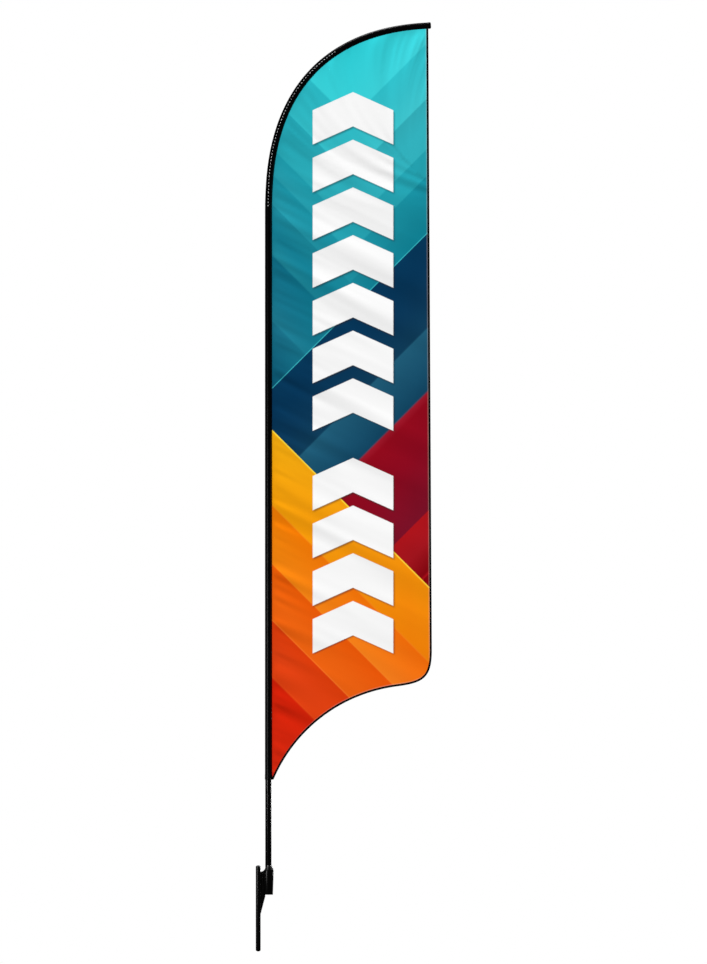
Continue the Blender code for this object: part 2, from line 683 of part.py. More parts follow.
def build():
    clear_scene()
    ground_spike = body_frame("ground_spike_frame", 0.0)
    swivel = body_frame("swivel_frame", SWIVEL_FOOT)
    base_pole = body_frame("base_pole_frame", BASE_FOOT)
    second_pole = body_frame("second_pole_frame", SECOND_FOOT)
    third_pole = body_frame("third_pole_frame", THIRD_FOOT)
    flag_and_tip = body_frame("flag_and_tip_frame", ROD_FOOT)
    make_spike(ground_spike)
    make_web(ground_spike)
    make_welds(ground_spike)
    make_socket(ground_spike)
    make_swivel(swivel)
    make_base_pole(base_pole)
    make_second_pole(second_pole)
    make_third_pole(third_pole)
    make_tip_rods(flag_and_tip)
    make_sleeve(flag_and_tip)
    make_flag(flag_and_tip)


build()
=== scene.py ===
"""Feather flag on a sleeved sectional pole, turning in the socket of a steel ground spike.

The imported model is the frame. The pieces that show are made again here with their fine
shapes and finishes, in the order in which the flag is put together.
"""

import math

import bmesh
import bpy
import numpy as np
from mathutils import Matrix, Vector, kdtree, noise

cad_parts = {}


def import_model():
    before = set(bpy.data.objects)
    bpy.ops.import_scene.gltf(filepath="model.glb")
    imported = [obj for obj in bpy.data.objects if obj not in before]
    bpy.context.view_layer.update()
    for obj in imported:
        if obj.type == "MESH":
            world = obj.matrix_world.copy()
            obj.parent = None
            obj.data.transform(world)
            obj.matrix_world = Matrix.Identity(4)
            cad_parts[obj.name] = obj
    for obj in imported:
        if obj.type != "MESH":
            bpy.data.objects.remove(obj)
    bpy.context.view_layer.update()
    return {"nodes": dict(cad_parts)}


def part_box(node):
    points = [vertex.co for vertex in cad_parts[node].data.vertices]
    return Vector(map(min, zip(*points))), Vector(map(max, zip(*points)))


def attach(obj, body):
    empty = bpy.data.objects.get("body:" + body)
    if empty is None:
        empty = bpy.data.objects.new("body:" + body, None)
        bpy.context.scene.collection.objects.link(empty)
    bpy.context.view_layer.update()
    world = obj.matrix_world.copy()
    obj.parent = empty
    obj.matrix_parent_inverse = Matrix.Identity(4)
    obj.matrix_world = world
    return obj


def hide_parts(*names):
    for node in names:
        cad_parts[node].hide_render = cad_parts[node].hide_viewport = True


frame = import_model()
# Camera, light and floor.
# A level camera without perspective stands square to the cloth. A high sun on the left shows the
# creases, one behind lights the back, and strips on both sides draw a line down the lower pole.
VIEW_HEIGHT = 4.4826
VIEW_MIDDLE = (0.3959, -6.0, 1.9193)
SUN_AIM = (0.3, 0.0, 2.2)
STRIP_AIM = (0.0, 0.0, 1.05)
STRIP_OFF = (-3.3, -4.0)      # front strip from the pole, and the back one opposite
STRIP_SIZE = (0.26, 1.7)
SKY_WHITE = 1.0               # what the camera sees behind the object
SKY_FILL = 0.500              # soft light from all round
SKY_GLOSS = 0.012             # what a glossy surface mirrors away from the strips
FLOOR_DROP = 0.0012           # floor below the spike's tip
FLOOR_RADIUS = 9.0
FLOOR_MIDDLE = 0.3

scene = bpy.context.scene
scene.view_settings.view_transform = "Standard"
lens = bpy.data.cameras.new("camera")
lens.type = "ORTHO"
lens.ortho_scale = VIEW_HEIGHT
camera = bpy.data.objects.new("camera", lens)
camera.location = VIEW_MIDDLE
camera.rotation_euler = (math.pi / 2, 0.0, 0.0)
scene.collection.objects.link(camera)
scene.camera = camera


def lamp(name, kind, power, place, aim):
    """A light at a place, turned to a point."""
    data = bpy.data.lights.new(name, kind)
    data.energy = power
    light = bpy.data.objects.new(name, data)
    light.location = place
    light.rotation_euler = (Vector(aim) - Vector(place)).to_track_quat("-Z", "Y").to_euler()
    scene.collection.objects.link(light)
    return light


key_sun = lamp("key_light", "SUN", 3.7, (-1.3, -2.5, 7.4), SUN_AIM)
key_sun.data.angle = math.radians(8)
back_sun = lamp("back_light", "SUN", 4.0, (4.2, 2.2, 6.4), SUN_AIM)
back_sun.data.angle = math.radians(20)
for turn, sight in ((1.0, "front"), (-1.0, "back")):
    strip = lamp(sight + "_strip_light", "AREA", 66.0,
                 (STRIP_OFF[0] * turn, STRIP_OFF[1] * turn, STRIP_AIM[2]), STRIP_AIM)
    strip.data.shape = "RECTANGLE"
    strip.data.size, strip.data.size_y = STRIP_SIZE
    strip.visible_diffuse = False


def wired(tree, kind, inputs=(), **settings):
    """A node in a tree, with its settings, and with inputs that are sockets or plain values."""
    node = tree.nodes.new(kind)
    for name, value in settings.items():
        setattr(node, name, value)
    for key, value in dict(inputs).items():
        if isinstance(value, bpy.types.NodeSocket):
            tree.links.new(value, node.inputs[key])
        else:
            node.inputs[key].default_value = value
    return node


scene.world = bpy.data.worlds.new("studio")
scene.world.use_nodes = True
sky = scene.world.node_tree
ray = wired(sky, "ShaderNodeLightPath").outputs
unseen = wired(sky, "ShaderNodeMix", {0: ray["Is Glossy Ray"], 2: SKY_FILL, 3: SKY_GLOSS})
glow = wired(sky, "ShaderNodeMix", {0: ray["Is Camera Ray"], 2: unseen.outputs[0], 3: SKY_WHITE})
backdrop = sky.nodes["Background"].inputs
backdrop["Color"].default_value = (1.0, 1.0, 1.0, 1.0)
sky.links.new(glow.outputs[0], backdrop["Strength"])


def painted(name, colour, roughness, metallic=0.0, gloss=0.5):
    """A material to build on: (material, its tree, its shader, object coordinates)."""
    material = bpy.data.materials.new(name)
    material.use_nodes = True
    tree = material.node_tree
    shader = tree.nodes["Principled BSDF"]
    for label, value in (("Base Color", (*colour, 1.0)), ("Roughness", roughness),
                         ("Metallic", metallic), ("Specular IOR Level", gloss)):
        shader.inputs[label].default_value = value
    return material, tree, shader, wired(tree, "ShaderNodeTexCoord").outputs["Object"]


def speckle(tree, place, grain, detail=3.0, stretch=(1.0, 1.0, 1.0)):
    """Noise of a given grain size in metres, drawn out along an axis by stretch."""
    mapped = wired(tree, "ShaderNodeMapping", {"Vector": place, "Scale": stretch}).outputs[0]
    return wired(tree, "ShaderNodeTexNoise", {"Vector": mapped, "Scale": 1.0 / grain,
                                              "Detail": detail}).outputs["Fac"]


def two_tone(tree, shader, share, first, second):
    """Base colour between two tones."""
    blend = wired(tree, "ShaderNodeMix", {0: share, 6: (*first, 1.0), 7: (*second, 1.0)},
                  data_type="RGBA")
    tree.links.new(blend.outputs[2], shader.inputs["Base Color"])


def dull_and_bright(tree, shader, share, low, high):
    """Roughness between two values."""
    spread = wired(tree, "ShaderNodeMapRange", {"Value": share, "To Min": low, "To Max": high})
    tree.links.new(spread.outputs[0], shader.inputs["Roughness"])


def relief(tree, shader, height, depth, strength=1.0):
    """Bump of a given depth in metres."""
    bump = wired(tree, "ShaderNodeBump", {"Height": height, "Distance": depth,
                                          "Strength": strength})
    tree.links.new(bump.outputs[0], shader.inputs["Normal"])


bpy.ops.mesh.primitive_circle_add(
    vertices=96, radius=FLOOR_RADIUS, fill_type="NGON",
    location=(FLOOR_MIDDLE, 0.0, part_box("spike_rod")[0][2] - FLOOR_DROP))
floor = bpy.context.object
floor.name = "floor"
floor_paint, tree, shader, place = painted("pale_floor", (0.8, 0.8, 0.8), 0.9)
two_tone(tree, shader, speckle(tree, place, 0.05), (0.78, 0.78, 0.78), (0.82, 0.82, 0.82))
floor.data.materials.append(floor_paint)
floor.visible_glossy = False
floor.visible_diffuse = False


# Ground spike.
# A round steel bar with a domed head and a rounded tip, driven into the soil. It is powder
# coated satin black with the rest of the welded foot.
SPIKE_SIDES = 48
DOME_STEPS = 9
DOME_RISE = 0.0070
STEEL_TONES = ((0.0008, 0.0008, 0.0009), (0.0026, 0.0025, 0.0024))


def finished(obj, material, body, slot, *nodes):
    """Give a made piece its material and its body, and hide the CAD nodes that it replaces; slot is
    not used.
    """
    obj.data.materials.clear()
    obj.data.materials.append(material)
    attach(obj, body)
    if nodes:
        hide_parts(*nodes)
    return obj


def shaded(name, shape, crease_angle=35):
    """An object at the origin from a bmesh, smooth but for its sharp edges."""
    bmesh.ops.recalc_face_normals(shape, faces=shape.faces)
    mesh = bpy.data.meshes.new(name)
    shape.to_mesh(mesh)
    shape.free()
    mesh.shade_smooth()
    mesh.set_sharp_from_angle(angle=math.radians(crease_angle))
    obj = bpy.data.objects.new(name, mesh)
    scene.collection.objects.link(obj)
    return obj


def turned(name, outline, centre_x, sides=SPIKE_SIDES):
    """A closed outline of (radius, height) points turned about the vertical at centre_x."""
    shape = bmesh.new()
    rings = []
    for radius, height in outline:
        count = sides if radius > 0.0 else 1
        turn = [2 * math.pi * i / sides for i in range(count)]
        rings.append([shape.verts.new((centre_x + radius * math.cos(a), radius * math.sin(a),
                                       height)) for a in turn])
    for low, high in zip(rings, rings[1:] + rings[:1]):
        if len(low) == 1 and len(high) == 1:
            continue
        for i in range(sides):
            corners = [low[(i - 1) % len(low)], low[i % len(low)], high[i % len(high)],
                       high[(i - 1) % len(high)]]
            shape.faces.new(list(dict.fromkeys(corners)))
    return shaded(name, shape)


def eased(outline, radius, steps=3):
    """The outline with each corner off the axis rounded."""
    done = []
    for i, (x, z) in enumerate(outline):
        corner = Vector((x, z))
        before, after = Vector(outline[i - 1]), Vector(outline[(i + 1) % len(outline)])
        if x == 0.0:
            done.append((x, z))
            continue
        back, on = before - corner, after - corner
        start = corner + back.normalized() * min(radius, back.length * 0.4)
        end = corner + on.normalized() * min(radius, on.length * 0.4)
        for k in range(steps + 1):
            t = k / steps
            point = start * (1 - t) ** 2 + corner * 2 * t * (1 - t) + end * t * t
            done.append((point.x, point.y))
    return done


def hard_finish(name, tones, mottle, polish, dullness, dents=None, depth=0.0, **shine):
    """Two tones in a mottle, with a roughness that wanders and, with dents, a fine relief.

    mottle, polish and dents are each the grain, detail and stretch of a noise.
    """
    material, tree, shader, place = painted(name, tones[0], dullness[0], **shine)
    two_tone(tree, shader, speckle(tree, place, *mottle), *tones)
    dull_and_bright(tree, shader, speckle(tree, place, *polish), *dullness)
    if dents:
        relief(tree, shader, speckle(tree, place, *dents), depth)
    return material


steel_paint = hard_finish("black_powder_coat", STEEL_TONES, (0.03, 5.0), (0.012, 4.0),
                          (0.18, 0.27), (0.0011, 2.0), 0.00003, gloss=0.20)

spike_low, spike_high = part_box("spike_rod")
spike_x = (spike_low[0] + spike_high[0]) / 2
spike_radius = (spike_high[1] - spike_low[1]) / 2
dome = [(spike_radius * math.cos(a), DOME_RISE * math.sin(a))
        for a in np.linspace(0.0, math.pi / 2, DOME_STEPS)[:-1]]
spike_outline = [(0.0, spike_low[2])]
spike_outline += [(r, spike_low[2] + DOME_RISE - h) for r, h in reversed(dome)]
spike_outline += [(r, spike_high[2] - DOME_RISE + h) for r, h in dome]
spike_outline.append((0.0, spike_high[2]))
spike = turned("ground_bar", spike_outline, spike_x)
finished(spike, steel_paint, "ground_spike", "spike_steel", "spike_rod")


# Gusset web.
# A 6 mm steel plate between the bar and the socket, with a round hollow in its top edge and a
# sloping foot. Its edges are ground round before it is welded in.
WEB_THICKNESS = 0.0060
WEB_EDGE = 0.0024
SADDLE_X = -0.03748
SADDLE_Z = 0.1314
SADDLE_RADIUS = 0.0240
SADDLE_STEPS = 20
WELD_IN = 0.0008              # plate's edges inside the bar and the socket
WEB_FOOT = -0.0915
WEB_UNDER_SOCKET = ((-0.02050, 0.0002), (-0.01428, 0.0002), (-0.01428, -0.0080))


def rounded(obj, width, angle):
    """Round the edges of a piece that are sharper than an angle in degrees."""
    bevel = obj.modifiers.new("rounded_edge", "BEVEL")
    bevel.width = width
    bevel.segments = 3
    bevel.limit_method = "ANGLE"
    bevel.angle_limit = math.radians(angle)


def slab(name, outline, thickness, edge):
    """A plate of (x, z) points with its edges rounded over."""
    shape = bmesh.new()
    face = shape.faces.new([shape.verts.new((x, -thickness / 2, z)) for x, z in outline])
    grown = bmesh.ops.extrude_face_region(shape, geom=[face])
    back = [item for item in grown["geom"] if isinstance(item, bmesh.types.BMVert)]
    bmesh.ops.translate(shape, verts=back, vec=(0.0, thickness, 0.0))
    obj = shaded(name, shape)
    rounded(obj, edge, 40)
    return obj


def skinned(name, rings, capped=True, looped=False, crease_angle=35):
    """Quads between rings of points, with flat ends unless the rings run in a loop."""
    shape = bmesh.new()
    made = [[shape.verts.new(point) for point in ring] for ring in rings]
    pairs = list(zip(made, made[1:] + made[:1])) if looped else list(zip(made, made[1:]))
    for low, high in pairs:
        for i in range(len(low)):
            shape.faces.new((low[i - 1], low[i], high[i], high[i - 1]))
    if capped and not looped:
        shape.faces.new(made[0])
        shape.faces.new(made[-1])
    return shaded(name, shape, crease_angle)


def rod_rings(path, radii, sides):
    """Rings of given radii about a path of points."""
    path = [Vector(point) for point in path]
    rings = []
    for i, middle in enumerate(path):
        along = (path[min(i + 1, len(path) - 1)] - path[max(i - 1, 0)]).normalized()
        side = along.cross(Vector((0.0, 1.0, 0.0))).normalized()
        other = along.cross(side)
        rings.append([middle + (side * math.cos(a) + other * math.sin(a)) * radii[i]
                      for a in (2 * math.pi * k / sides for k in range(sides))])
    return rings

web_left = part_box("gusset_web")[0][0] - WELD_IN
web_right = -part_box("socket_tube")[1][0] + WELD_IN
saddle = [(x, SADDLE_Z - math.sqrt(SADDLE_RADIUS ** 2 - (x - SADDLE_X) ** 2))
          for x in np.linspace(web_left, web_right, SADDLE_STEPS)]
web = slab("gusset_plate", [*saddle, *WEB_UNDER_SOCKET, (web_left, WEB_FOOT)], WEB_THICKNESS,
           WEB_EDGE)
finished(web, steel_paint, "ground_spike", "spike_steel", "gusset_web")


# Weld beads.
# Four runs of weld join the plate to the bar and to the socket. Each is a stack of small
# ripples left by the torch, under the same black coat.
BEAD_RADIUS = 0.0022
BEAD_SIDES = 14
RIPPLE_PITCH = 0.0021
RIPPLE_STEPS = 6              # rings in each ripple
RIPPLE_DEPTH = 0.16
BEAD_END = 0.35               # share of the full radius at each end of a run
BEAD_SWELL = 20               # how fast a run swells from its ends

for node in ("spike_weld_front", "spike_weld_back", "socket_weld_front", "socket_weld_back"):
    low, high = (Vector(corner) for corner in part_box(node))
    middle_y = (low.y + high.y) / 2
    leaning = node.startswith("socket")
    foot_x = high.x - BEAD_RADIUS if leaning else (low.x + high.x) / 2
    head_x = low.x + BEAD_RADIUS if leaning else foot_x
    count = int((high.z - low.z) / RIPPLE_PITCH * RIPPLE_STEPS)
    path, radii = [], []
    for i in range(count + 1):
        share = i / count
        path.append((foot_x + (head_x - foot_x) * share, middle_y, low.z + (high.z - low.z) * share))
        ripple = abs(math.sin(math.pi * i / RIPPLE_STEPS)) - 0.5
        taper = min(1.0, BEAD_END + BEAD_SWELL * min(share, 1 - share))
        radii.append(BEAD_RADIUS * taper * (1.0 + RIPPLE_DEPTH * ripple))
    bead = skinned(node + "_bead", rod_rings(path, radii, BEAD_SIDES), crease_angle=60)
    finished(bead, steel_paint, "ground_spike", "spike_steel", node)


# Socket.
# A steel tube that widens to its mouth and is welded shut by a disc at the foot. The nylon
# thrust washer that the swivel turns on lies on the disc.
SOCKET_SIDES = 72
SOCKET_ROUND = 0.0009
FOOT_RADIUS = 0.02108
BORE_RADIUS = 0.01798
mouth_radius, _, socket_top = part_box("socket_tube")[1]
socket_wall = eased([(BORE_RADIUS, 0.0), (FOOT_RADIUS, 0.0), (mouth_radius, socket_top),
                     (BORE_RADIUS, socket_top)], SOCKET_ROUND)
socket = turned("socket_sleeve", socket_wall, 0.0, SOCKET_SIDES)
finished(socket, steel_paint, "ground_spike", "spike_steel", "socket_tube")


def dressed(node, material):
    """A CAD node that stays as it is, in a better material."""
    for holder in frame["nodes"][node].material_slots:
        holder.material = material


grey_nylon = hard_finish("grey_nylon_moulding", ((0.16, 0.16, 0.17), (0.20, 0.20, 0.21)),
                         (0.008, 4.0), (0.003,), (0.42, 0.60), (0.0006, 2.0), 0.00004)
dressed("socket_plug", steel_paint)
dressed("thrust_washer", grey_nylon)
dressed("swivel_cup", grey_nylon)


# Mouth collar.
# A moulded black nylon ring pressed into the socket's mouth. It narrows to the pole, keeps dirt
# out of the swivel, and is hollowed on one side to clear the bar's head.
COLLAR_SPIGOT = 0.0200
SPIGOT_GAP = 0.0004
COLLAR_SKIRT = 0.0050
COLLAR_BORE = 0.01503
COLLAR_LIP = 0.0009
COLLAR_EASE = 0.0007          # rounding of the moulded edges
HOLLOW_LENGTH = 0.12
HOLLOW_SIDES = 96
HOLLOW_ROUND = 0.0015         # rounding of the hollow's edges

black_nylon = hard_finish("black_nylon_moulding", ((0.0009, 0.0009, 0.0010),
                                                   (0.0022, 0.0022, 0.0023)),
                          (0.01, 4.0), (0.004,), (0.20, 0.30), (0.0007, 2.0), 0.00005, gloss=0.30)

collar_low, collar_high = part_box("mouth_collar")
collar_seat = collar_low[2] + COLLAR_SPIGOT
spigot = BORE_RADIUS - SPIGOT_GAP
collar_outline = eased([(COLLAR_BORE, collar_low[2]), (spigot, collar_low[2]),
                        (spigot, collar_seat), (mouth_radius, collar_seat),
                        (mouth_radius, collar_seat + COLLAR_SKIRT),
                        (COLLAR_BORE + COLLAR_LIP, collar_high[2]),
                        (COLLAR_BORE, collar_high[2])], COLLAR_EASE)
collar = turned("socket_collar", collar_outline, 0.0, SOCKET_SIDES)


def settled(obj):
    """Keep what a piece's modifiers make of it as its plain mesh."""
    bpy.context.view_layer.update()
    solved = obj.evaluated_get(bpy.context.evaluated_depsgraph_get())
    mesh = bpy.data.meshes.new_from_object(solved)
    obj.modifiers.clear()
    obj.data = mesh
    return obj


def bored(obj, radius, length, middle, turn, sides=48):
    """Take a round bar out of a piece."""
    bpy.ops.mesh.primitive_cylinder_add(vertices=sides, radius=radius, depth=length,
                                        location=middle, rotation=turn)
    bar = bpy.context.object
    cut = obj.modifiers.new("hollow", "BOOLEAN")
    cut.operation = "DIFFERENCE"
    cut.solver = "EXACT"
    cut.object = bar
    settled(obj)
    bpy.data.objects.remove(bar, do_unlink=True)
    obj.data.shade_smooth()
    obj.data.set_sharp_from_angle(angle=math.radians(35))

bored(collar, SADDLE_RADIUS, HOLLOW_LENGTH, (SADDLE_X, 0.0, SADDLE_Z), (math.pi / 2, 0.0, 0.0),
      HOLLOW_SIDES)
rounded(collar, HOLLOW_ROUND, 38)
finished(collar, black_nylon, "ground_spike", "black_nylon", "mouth_collar")


# Pole tubes.
# Three drawn aluminium tubes, anodised satin black. Each stands a hand's width deep in the one
# below, on a steel stop pin across it, and the lowest has a nylon plug in its foot.
TUBES = (("base", 0.0013), ("second", 0.0012), ("third", 0.0012))     # each with its wall
TUBE_SIDES = 64
TUBE_EDGE = 0.0004
PIN_HOLE = 0.0023
DRAWN = (0.0009, 2.0, (1.0, 1.0, 0.02))       # fine lines along the tube
TURNED = (0.0006, 2.0, (1.0, 1.0, 0.1))

tube_black = hard_finish("black_anodised_tube", ((0.0010, 0.0010, 0.0011),
                                                 (0.0022, 0.0022, 0.0023)),
                         (0.05, 4.0), DRAWN, (0.16, 0.26), DRAWN, 0.000015, metallic=0.35)
bare_steel = hard_finish("plain_steel", ((0.42, 0.42, 0.43), (0.60, 0.60, 0.61)), TURNED, TURNED,
                         (0.24, 0.46), metallic=1.0)

dressed("foot_plug", black_nylon)
dressed("base_stop_pin", bare_steel)
dressed("second_stop_pin", bare_steel)
dressed("tip_reducer", black_nylon)
for stage, wall in TUBES:
    low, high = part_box(stage + "_tube")
    radius = high[0]
    outline = eased([(radius - wall, low[2]), (radius, low[2]), (radius, high[2]),
                     (radius - wall, high[2])], TUBE_EDGE)
    tube = turned(stage + "_pole_tube", outline, 0.0, TUBE_SIDES)
    if stage != "third":
        pin_low, pin_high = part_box(stage + "_stop_pin")
        bored(tube, PIN_HOLE, 4 * radius, (0.0, 0.0, (pin_low[2] + pin_high[2]) / 2),
              (0.0, math.pi / 2, 0.0))
    finished(tube, tube_black, stage + "_pole", "pole_tube", stage + "_tube")


# Bent tip.
# Two tapered fibreglass rods meet in a steel ferrule and end in a nylon cap. The flag pulls
# them over into the bend, whose path the sleeve and the top of the flag follow.
BEND_START = 3.1739
BEND = ((0.0, BEND_START), (0.0, 3.6911), (0.21816, 4.01437), (0.7443, 4.0407))
BEND_STEPS = 110
STRANDS = (0.0005, 2.0, (0.2, 1.0, 0.05))     # glass fibres along the rod


def on_curve(curve, t):
    """Points of a Bezier curve at an array of shares, one row each."""
    t = np.asarray(t, dtype=float)[:, None]
    a, b, c, d = (np.array(point) for point in curve)
    return (1 - t) ** 3 * a + 3 * (1 - t) ** 2 * t * b + 3 * (1 - t) * t * t * c + t ** 3 * d


def along_curve(curve, t):
    """Unit tangents of a Bezier curve at an array of shares."""
    t = np.asarray(t, dtype=float)[:, None]
    a, b, c, d = (np.array(point) for point in curve)
    run = (1 - t) ** 2 * (b - a) + 2 * (1 - t) * t * (c - b) + t * t * (d - c)
    return run / np.linalg.norm(run, axis=1, keepdims=True)


fibreglass = hard_finish("black_fibreglass", ((0.004, 0.004, 0.004), (0.012, 0.012, 0.012)),
                         STRANDS, STRANDS, (0.22, 0.40))
for node in ("tip_rod_lower", "tip_rod_upper"):
    dressed(node, fibreglass)
dressed("tip_ferrule", bare_steel)
dressed("tip_cap", black_nylon)


# Sleeve.
# A tunnel of black woven polyester, folded over the pole and sewn to the flag's leading edge in
# a narrow lap. It is full and round on the tubes, and lies flatter over the thin rods.
SLEEVE_POINTS = 44
STRAIGHT_PITCH = 0.0125
HALF_WIDTH = (0.01673, 0.01460)   # at the foot and at the tip
SEAM_SHIFT = 0.0010               # sleeve's middle, from the pole's towards the flag
RIDE_SHARES = (0.0, 0.06, 0.12, 0.20, 0.30, 0.40, 0.60, 0.70, 0.80, 0.90, 1.0)
RIDE_OUT = (0.0, 0.0003, 0.0018, 0.0031, 0.0032, 0.0024, 0.0014, 0.0014, 0.0024, 0.0025, 0.0020)
WALL = 0.0007
BORE = (0.01503, 0.00535)         # half depth inside, at the foot and at the tip
FERRULE_FIT = 0.00790             # half depth inside, at the ferrule
FERRULE_SHARE = 13 / 24           # ferrule's place on the bend
SETTLE = 0.25                     # share of the bend in which the sleeve closes on the rod
LAP_HALF = 0.0006
LAP_REACH = 0.0022
LAP_SPREAD = 3.0
PUCKER_PITCH = 0.013
PUCKER = 0.00028
PUCKER_REACH = 0.004              # how fast the lap's puckers die away round the sleeve
CRUMPLE = 0.00018
CRUMPLE_START = 0.006             # in from the lap, where the crumples are full
SLACK = 0.05                      # share of the depth that the loose cloth waves by
SLEEVE_DROP = 0.0010              # sleeve's foot below its CAD solid's


def wave_scale(pitch):
    """A wave texture's scale for bands of a given pitch in metres."""
    return math.pi / (10.0 * pitch)


def woven(name, tones, pitch, roughness, gloss, depth):
    """Cloth of crossed threads at a given pitch, for the sleeve, its cuff and the bindings."""
    material, tree, shader, place = painted(name, tones[0], roughness, gloss=gloss)
    threads = [wired(tree, "ShaderNodeTexWave", {"Vector": place, "Scale": wave_scale(pitch),
                                                 "Distortion": 0.6},
                     bands_direction=way).outputs["Fac"] for way in ("X", "Z")]
    cross = wired(tree, "ShaderNodeMath", enumerate(threads), operation="MULTIPLY").outputs[0]
    two_tone(tree, shader, cross, *tones)
    relief(tree, shader, cross, depth)
    return material


sleeve_cloth = woven("black_sleeve_weave", ((0.0008, 0.0008, 0.0009), (0.0020, 0.0020, 0.0021)),
                     0.0009, 0.27, 0.12, 0.00005)


def eased_share(value):
    """A share from 0 to 1 that starts and ends gently."""
    value = np.clip(value, 0.0, 1.0)
    return value * value * (3.0 - 2.0 * value)


def sleeve_sizes(t):
    """Half width and inside half depth of the sleeve at a share of the bend."""
    past = max(0.0, (t - FERRULE_SHARE) / (1.0 - FERRULE_SHARE))
    fit = FERRULE_FIT + (BORE[1] - FERRULE_FIT) * past
    bore = BORE[0] + (fit - BORE[0]) * float(eased_share(t / SETTLE))
    return HALF_WIDTH[0] + (HALF_WIDTH[1] - HALF_WIDTH[0]) * t, bore


def seam_shift(t):
    """The sleeve's shift towards the flag, less what it rides out by over the bent rods."""
    return SEAM_SHIFT - np.interp(t, RIDE_SHARES, RIDE_OUT)


def spine(low):
    """Stations up the pole from a height: share of the bend, middle, outward side, run."""
    straight = np.arange(low, BEND_START - STRAIGHT_PITCH / 2, STRAIGHT_PITCH)
    shares = np.concatenate([np.zeros(len(straight)), np.linspace(0.0, 1.0, BEND_STEPS)])
    middles = on_curve(BEND, shares)
    middles[:len(straight), 1] = straight
    tangents = along_curve(BEND, shares)
    outward = np.stack([-tangents[:, 1], tangents[:, 0]], axis=1)
    steps = np.linalg.norm(np.diff(middles, axis=0), axis=1)
    run = low + np.concatenate([[0.0], np.cumsum(steps)])
    return shares, middles, outward, run


def turns():
    """The angles of a ring's points about the sleeve."""
    return [2 * math.pi * k / SLEEVE_POINTS for k in range(SLEEVE_POINTS)]


def cloth_ring(t, middle, outward, run, grow=0.0):
    """Outside ring of the sleeve: round on the pole and pinched to a lap on the flag's side."""
    wide, bore = sleeve_sizes(t)
    deep = bore + WALL + grow
    loose = min(1.0, t / SETTLE)
    deep *= 1.0 + SLACK * loose * noise.noise(Vector((run * 22.0, 3.1, 0.0)))
    wide += grow
    shift = float(seam_shift(t))
    wander = 4 * noise.noise(Vector((run * 9.0, 0.0, 5.0)))
    ring = []
    for turn in turns():
        reach = shift - wide * math.cos(turn)
        y = deep * math.sin(turn)
        inside = wide + shift - reach
        from_lap = max(0.0, inside - LAP_REACH)
        limit = LAP_HALF + grow + LAP_SPREAD * from_lap
        pucker = PUCKER * math.exp(-from_lap / PUCKER_REACH)
        pucker *= math.sin(2 * math.pi * run / PUCKER_PITCH + wander)
        crumple = CRUMPLE * noise.noise(Vector((run * 60.0, turn * 1.5, 2.0)))
        crumple *= min(1.0, inside / CRUMPLE_START)
        y = math.copysign(min(abs(y), limit) + crumple, y) + pucker
        ring.append((middle[0] - outward[0] * reach, y, middle[1] - outward[1] * reach))
    return ring


def lining_ring(t, middle, outward):
    """Inside ring of the sleeve."""
    wide, bore = sleeve_sizes(t)
    narrow = wide - WALL - SEAM_SHIFT
    shift = float(seam_shift(t)) - SEAM_SHIFT
    reaches = [(turn, shift - narrow * math.cos(turn)) for turn in turns()]
    return [(middle[0] - outward[0] * reach, bore * math.sin(turn),
             middle[1] - outward[1] * reach) for turn, reach in reaches]


shares, middles, outwards, runs = spine(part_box("sleeve")[0][2] - SLEEVE_DROP)
outside = [cloth_ring(*row) for row in zip(shares, middles, outwards, runs)]
inside = [lining_ring(*row) for row in zip(shares, middles, outwards)]
tunnel = skinned("sleeve_tunnel", outside + inside[::-1], looped=True, crease_angle=50)
finished(tunnel, sleeve_cloth, "flag_and_tip", "sleeve_cloth", "sleeve")
tunnel.visible_shadow = False     # so that the print stays even right up to the lap


# Sleeve cuff.
# The sleeve's mouth is turned up on itself into a hem 25 mm deep, twice as thick as the rest,
# which keeps the edge from fraying on the pole.
CUFF_GROW = 0.0005
CUFF_EDGE = ((0.0, -0.0002), (0.0006, 0.0003))     # in from each end, and how far out there
CUFF_FULL = 0.0020                # in from each end, where the cuff is full
CUFF_LEVELS = 7
OUT_WAY = (-1.0, 0.0)
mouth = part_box("sleeve_cuff")[0][2]
cuff_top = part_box("sleeve_cuff")[1][2]
cuff_rows = [(mouth + step, grow) for step, grow in CUFF_EDGE + ((CUFF_FULL, CUFF_GROW),)]
cuff_rows += [(z, CUFF_GROW) for z in np.linspace(mouth + 0.005, cuff_top - CUFF_FULL,
                                                  CUFF_LEVELS)]
cuff_rows += [(cuff_top - step, grow) for step, grow in reversed(CUFF_EDGE)]
cuff_out = [cloth_ring(0.0, (0.0, z), OUT_WAY, z, grow) for z, grow in cuff_rows]
cuff_in = [lining_ring(0.0, (0.0, z), OUT_WAY) for z in (mouth, cuff_top)]
cuff = skinned("sleeve_hem", cuff_out + cuff_in[::-1], looped=True, crease_angle=50)
finished(cuff, sleeve_cloth, "flag_and_tip", "sleeve_cloth", "sleeve_cuff")


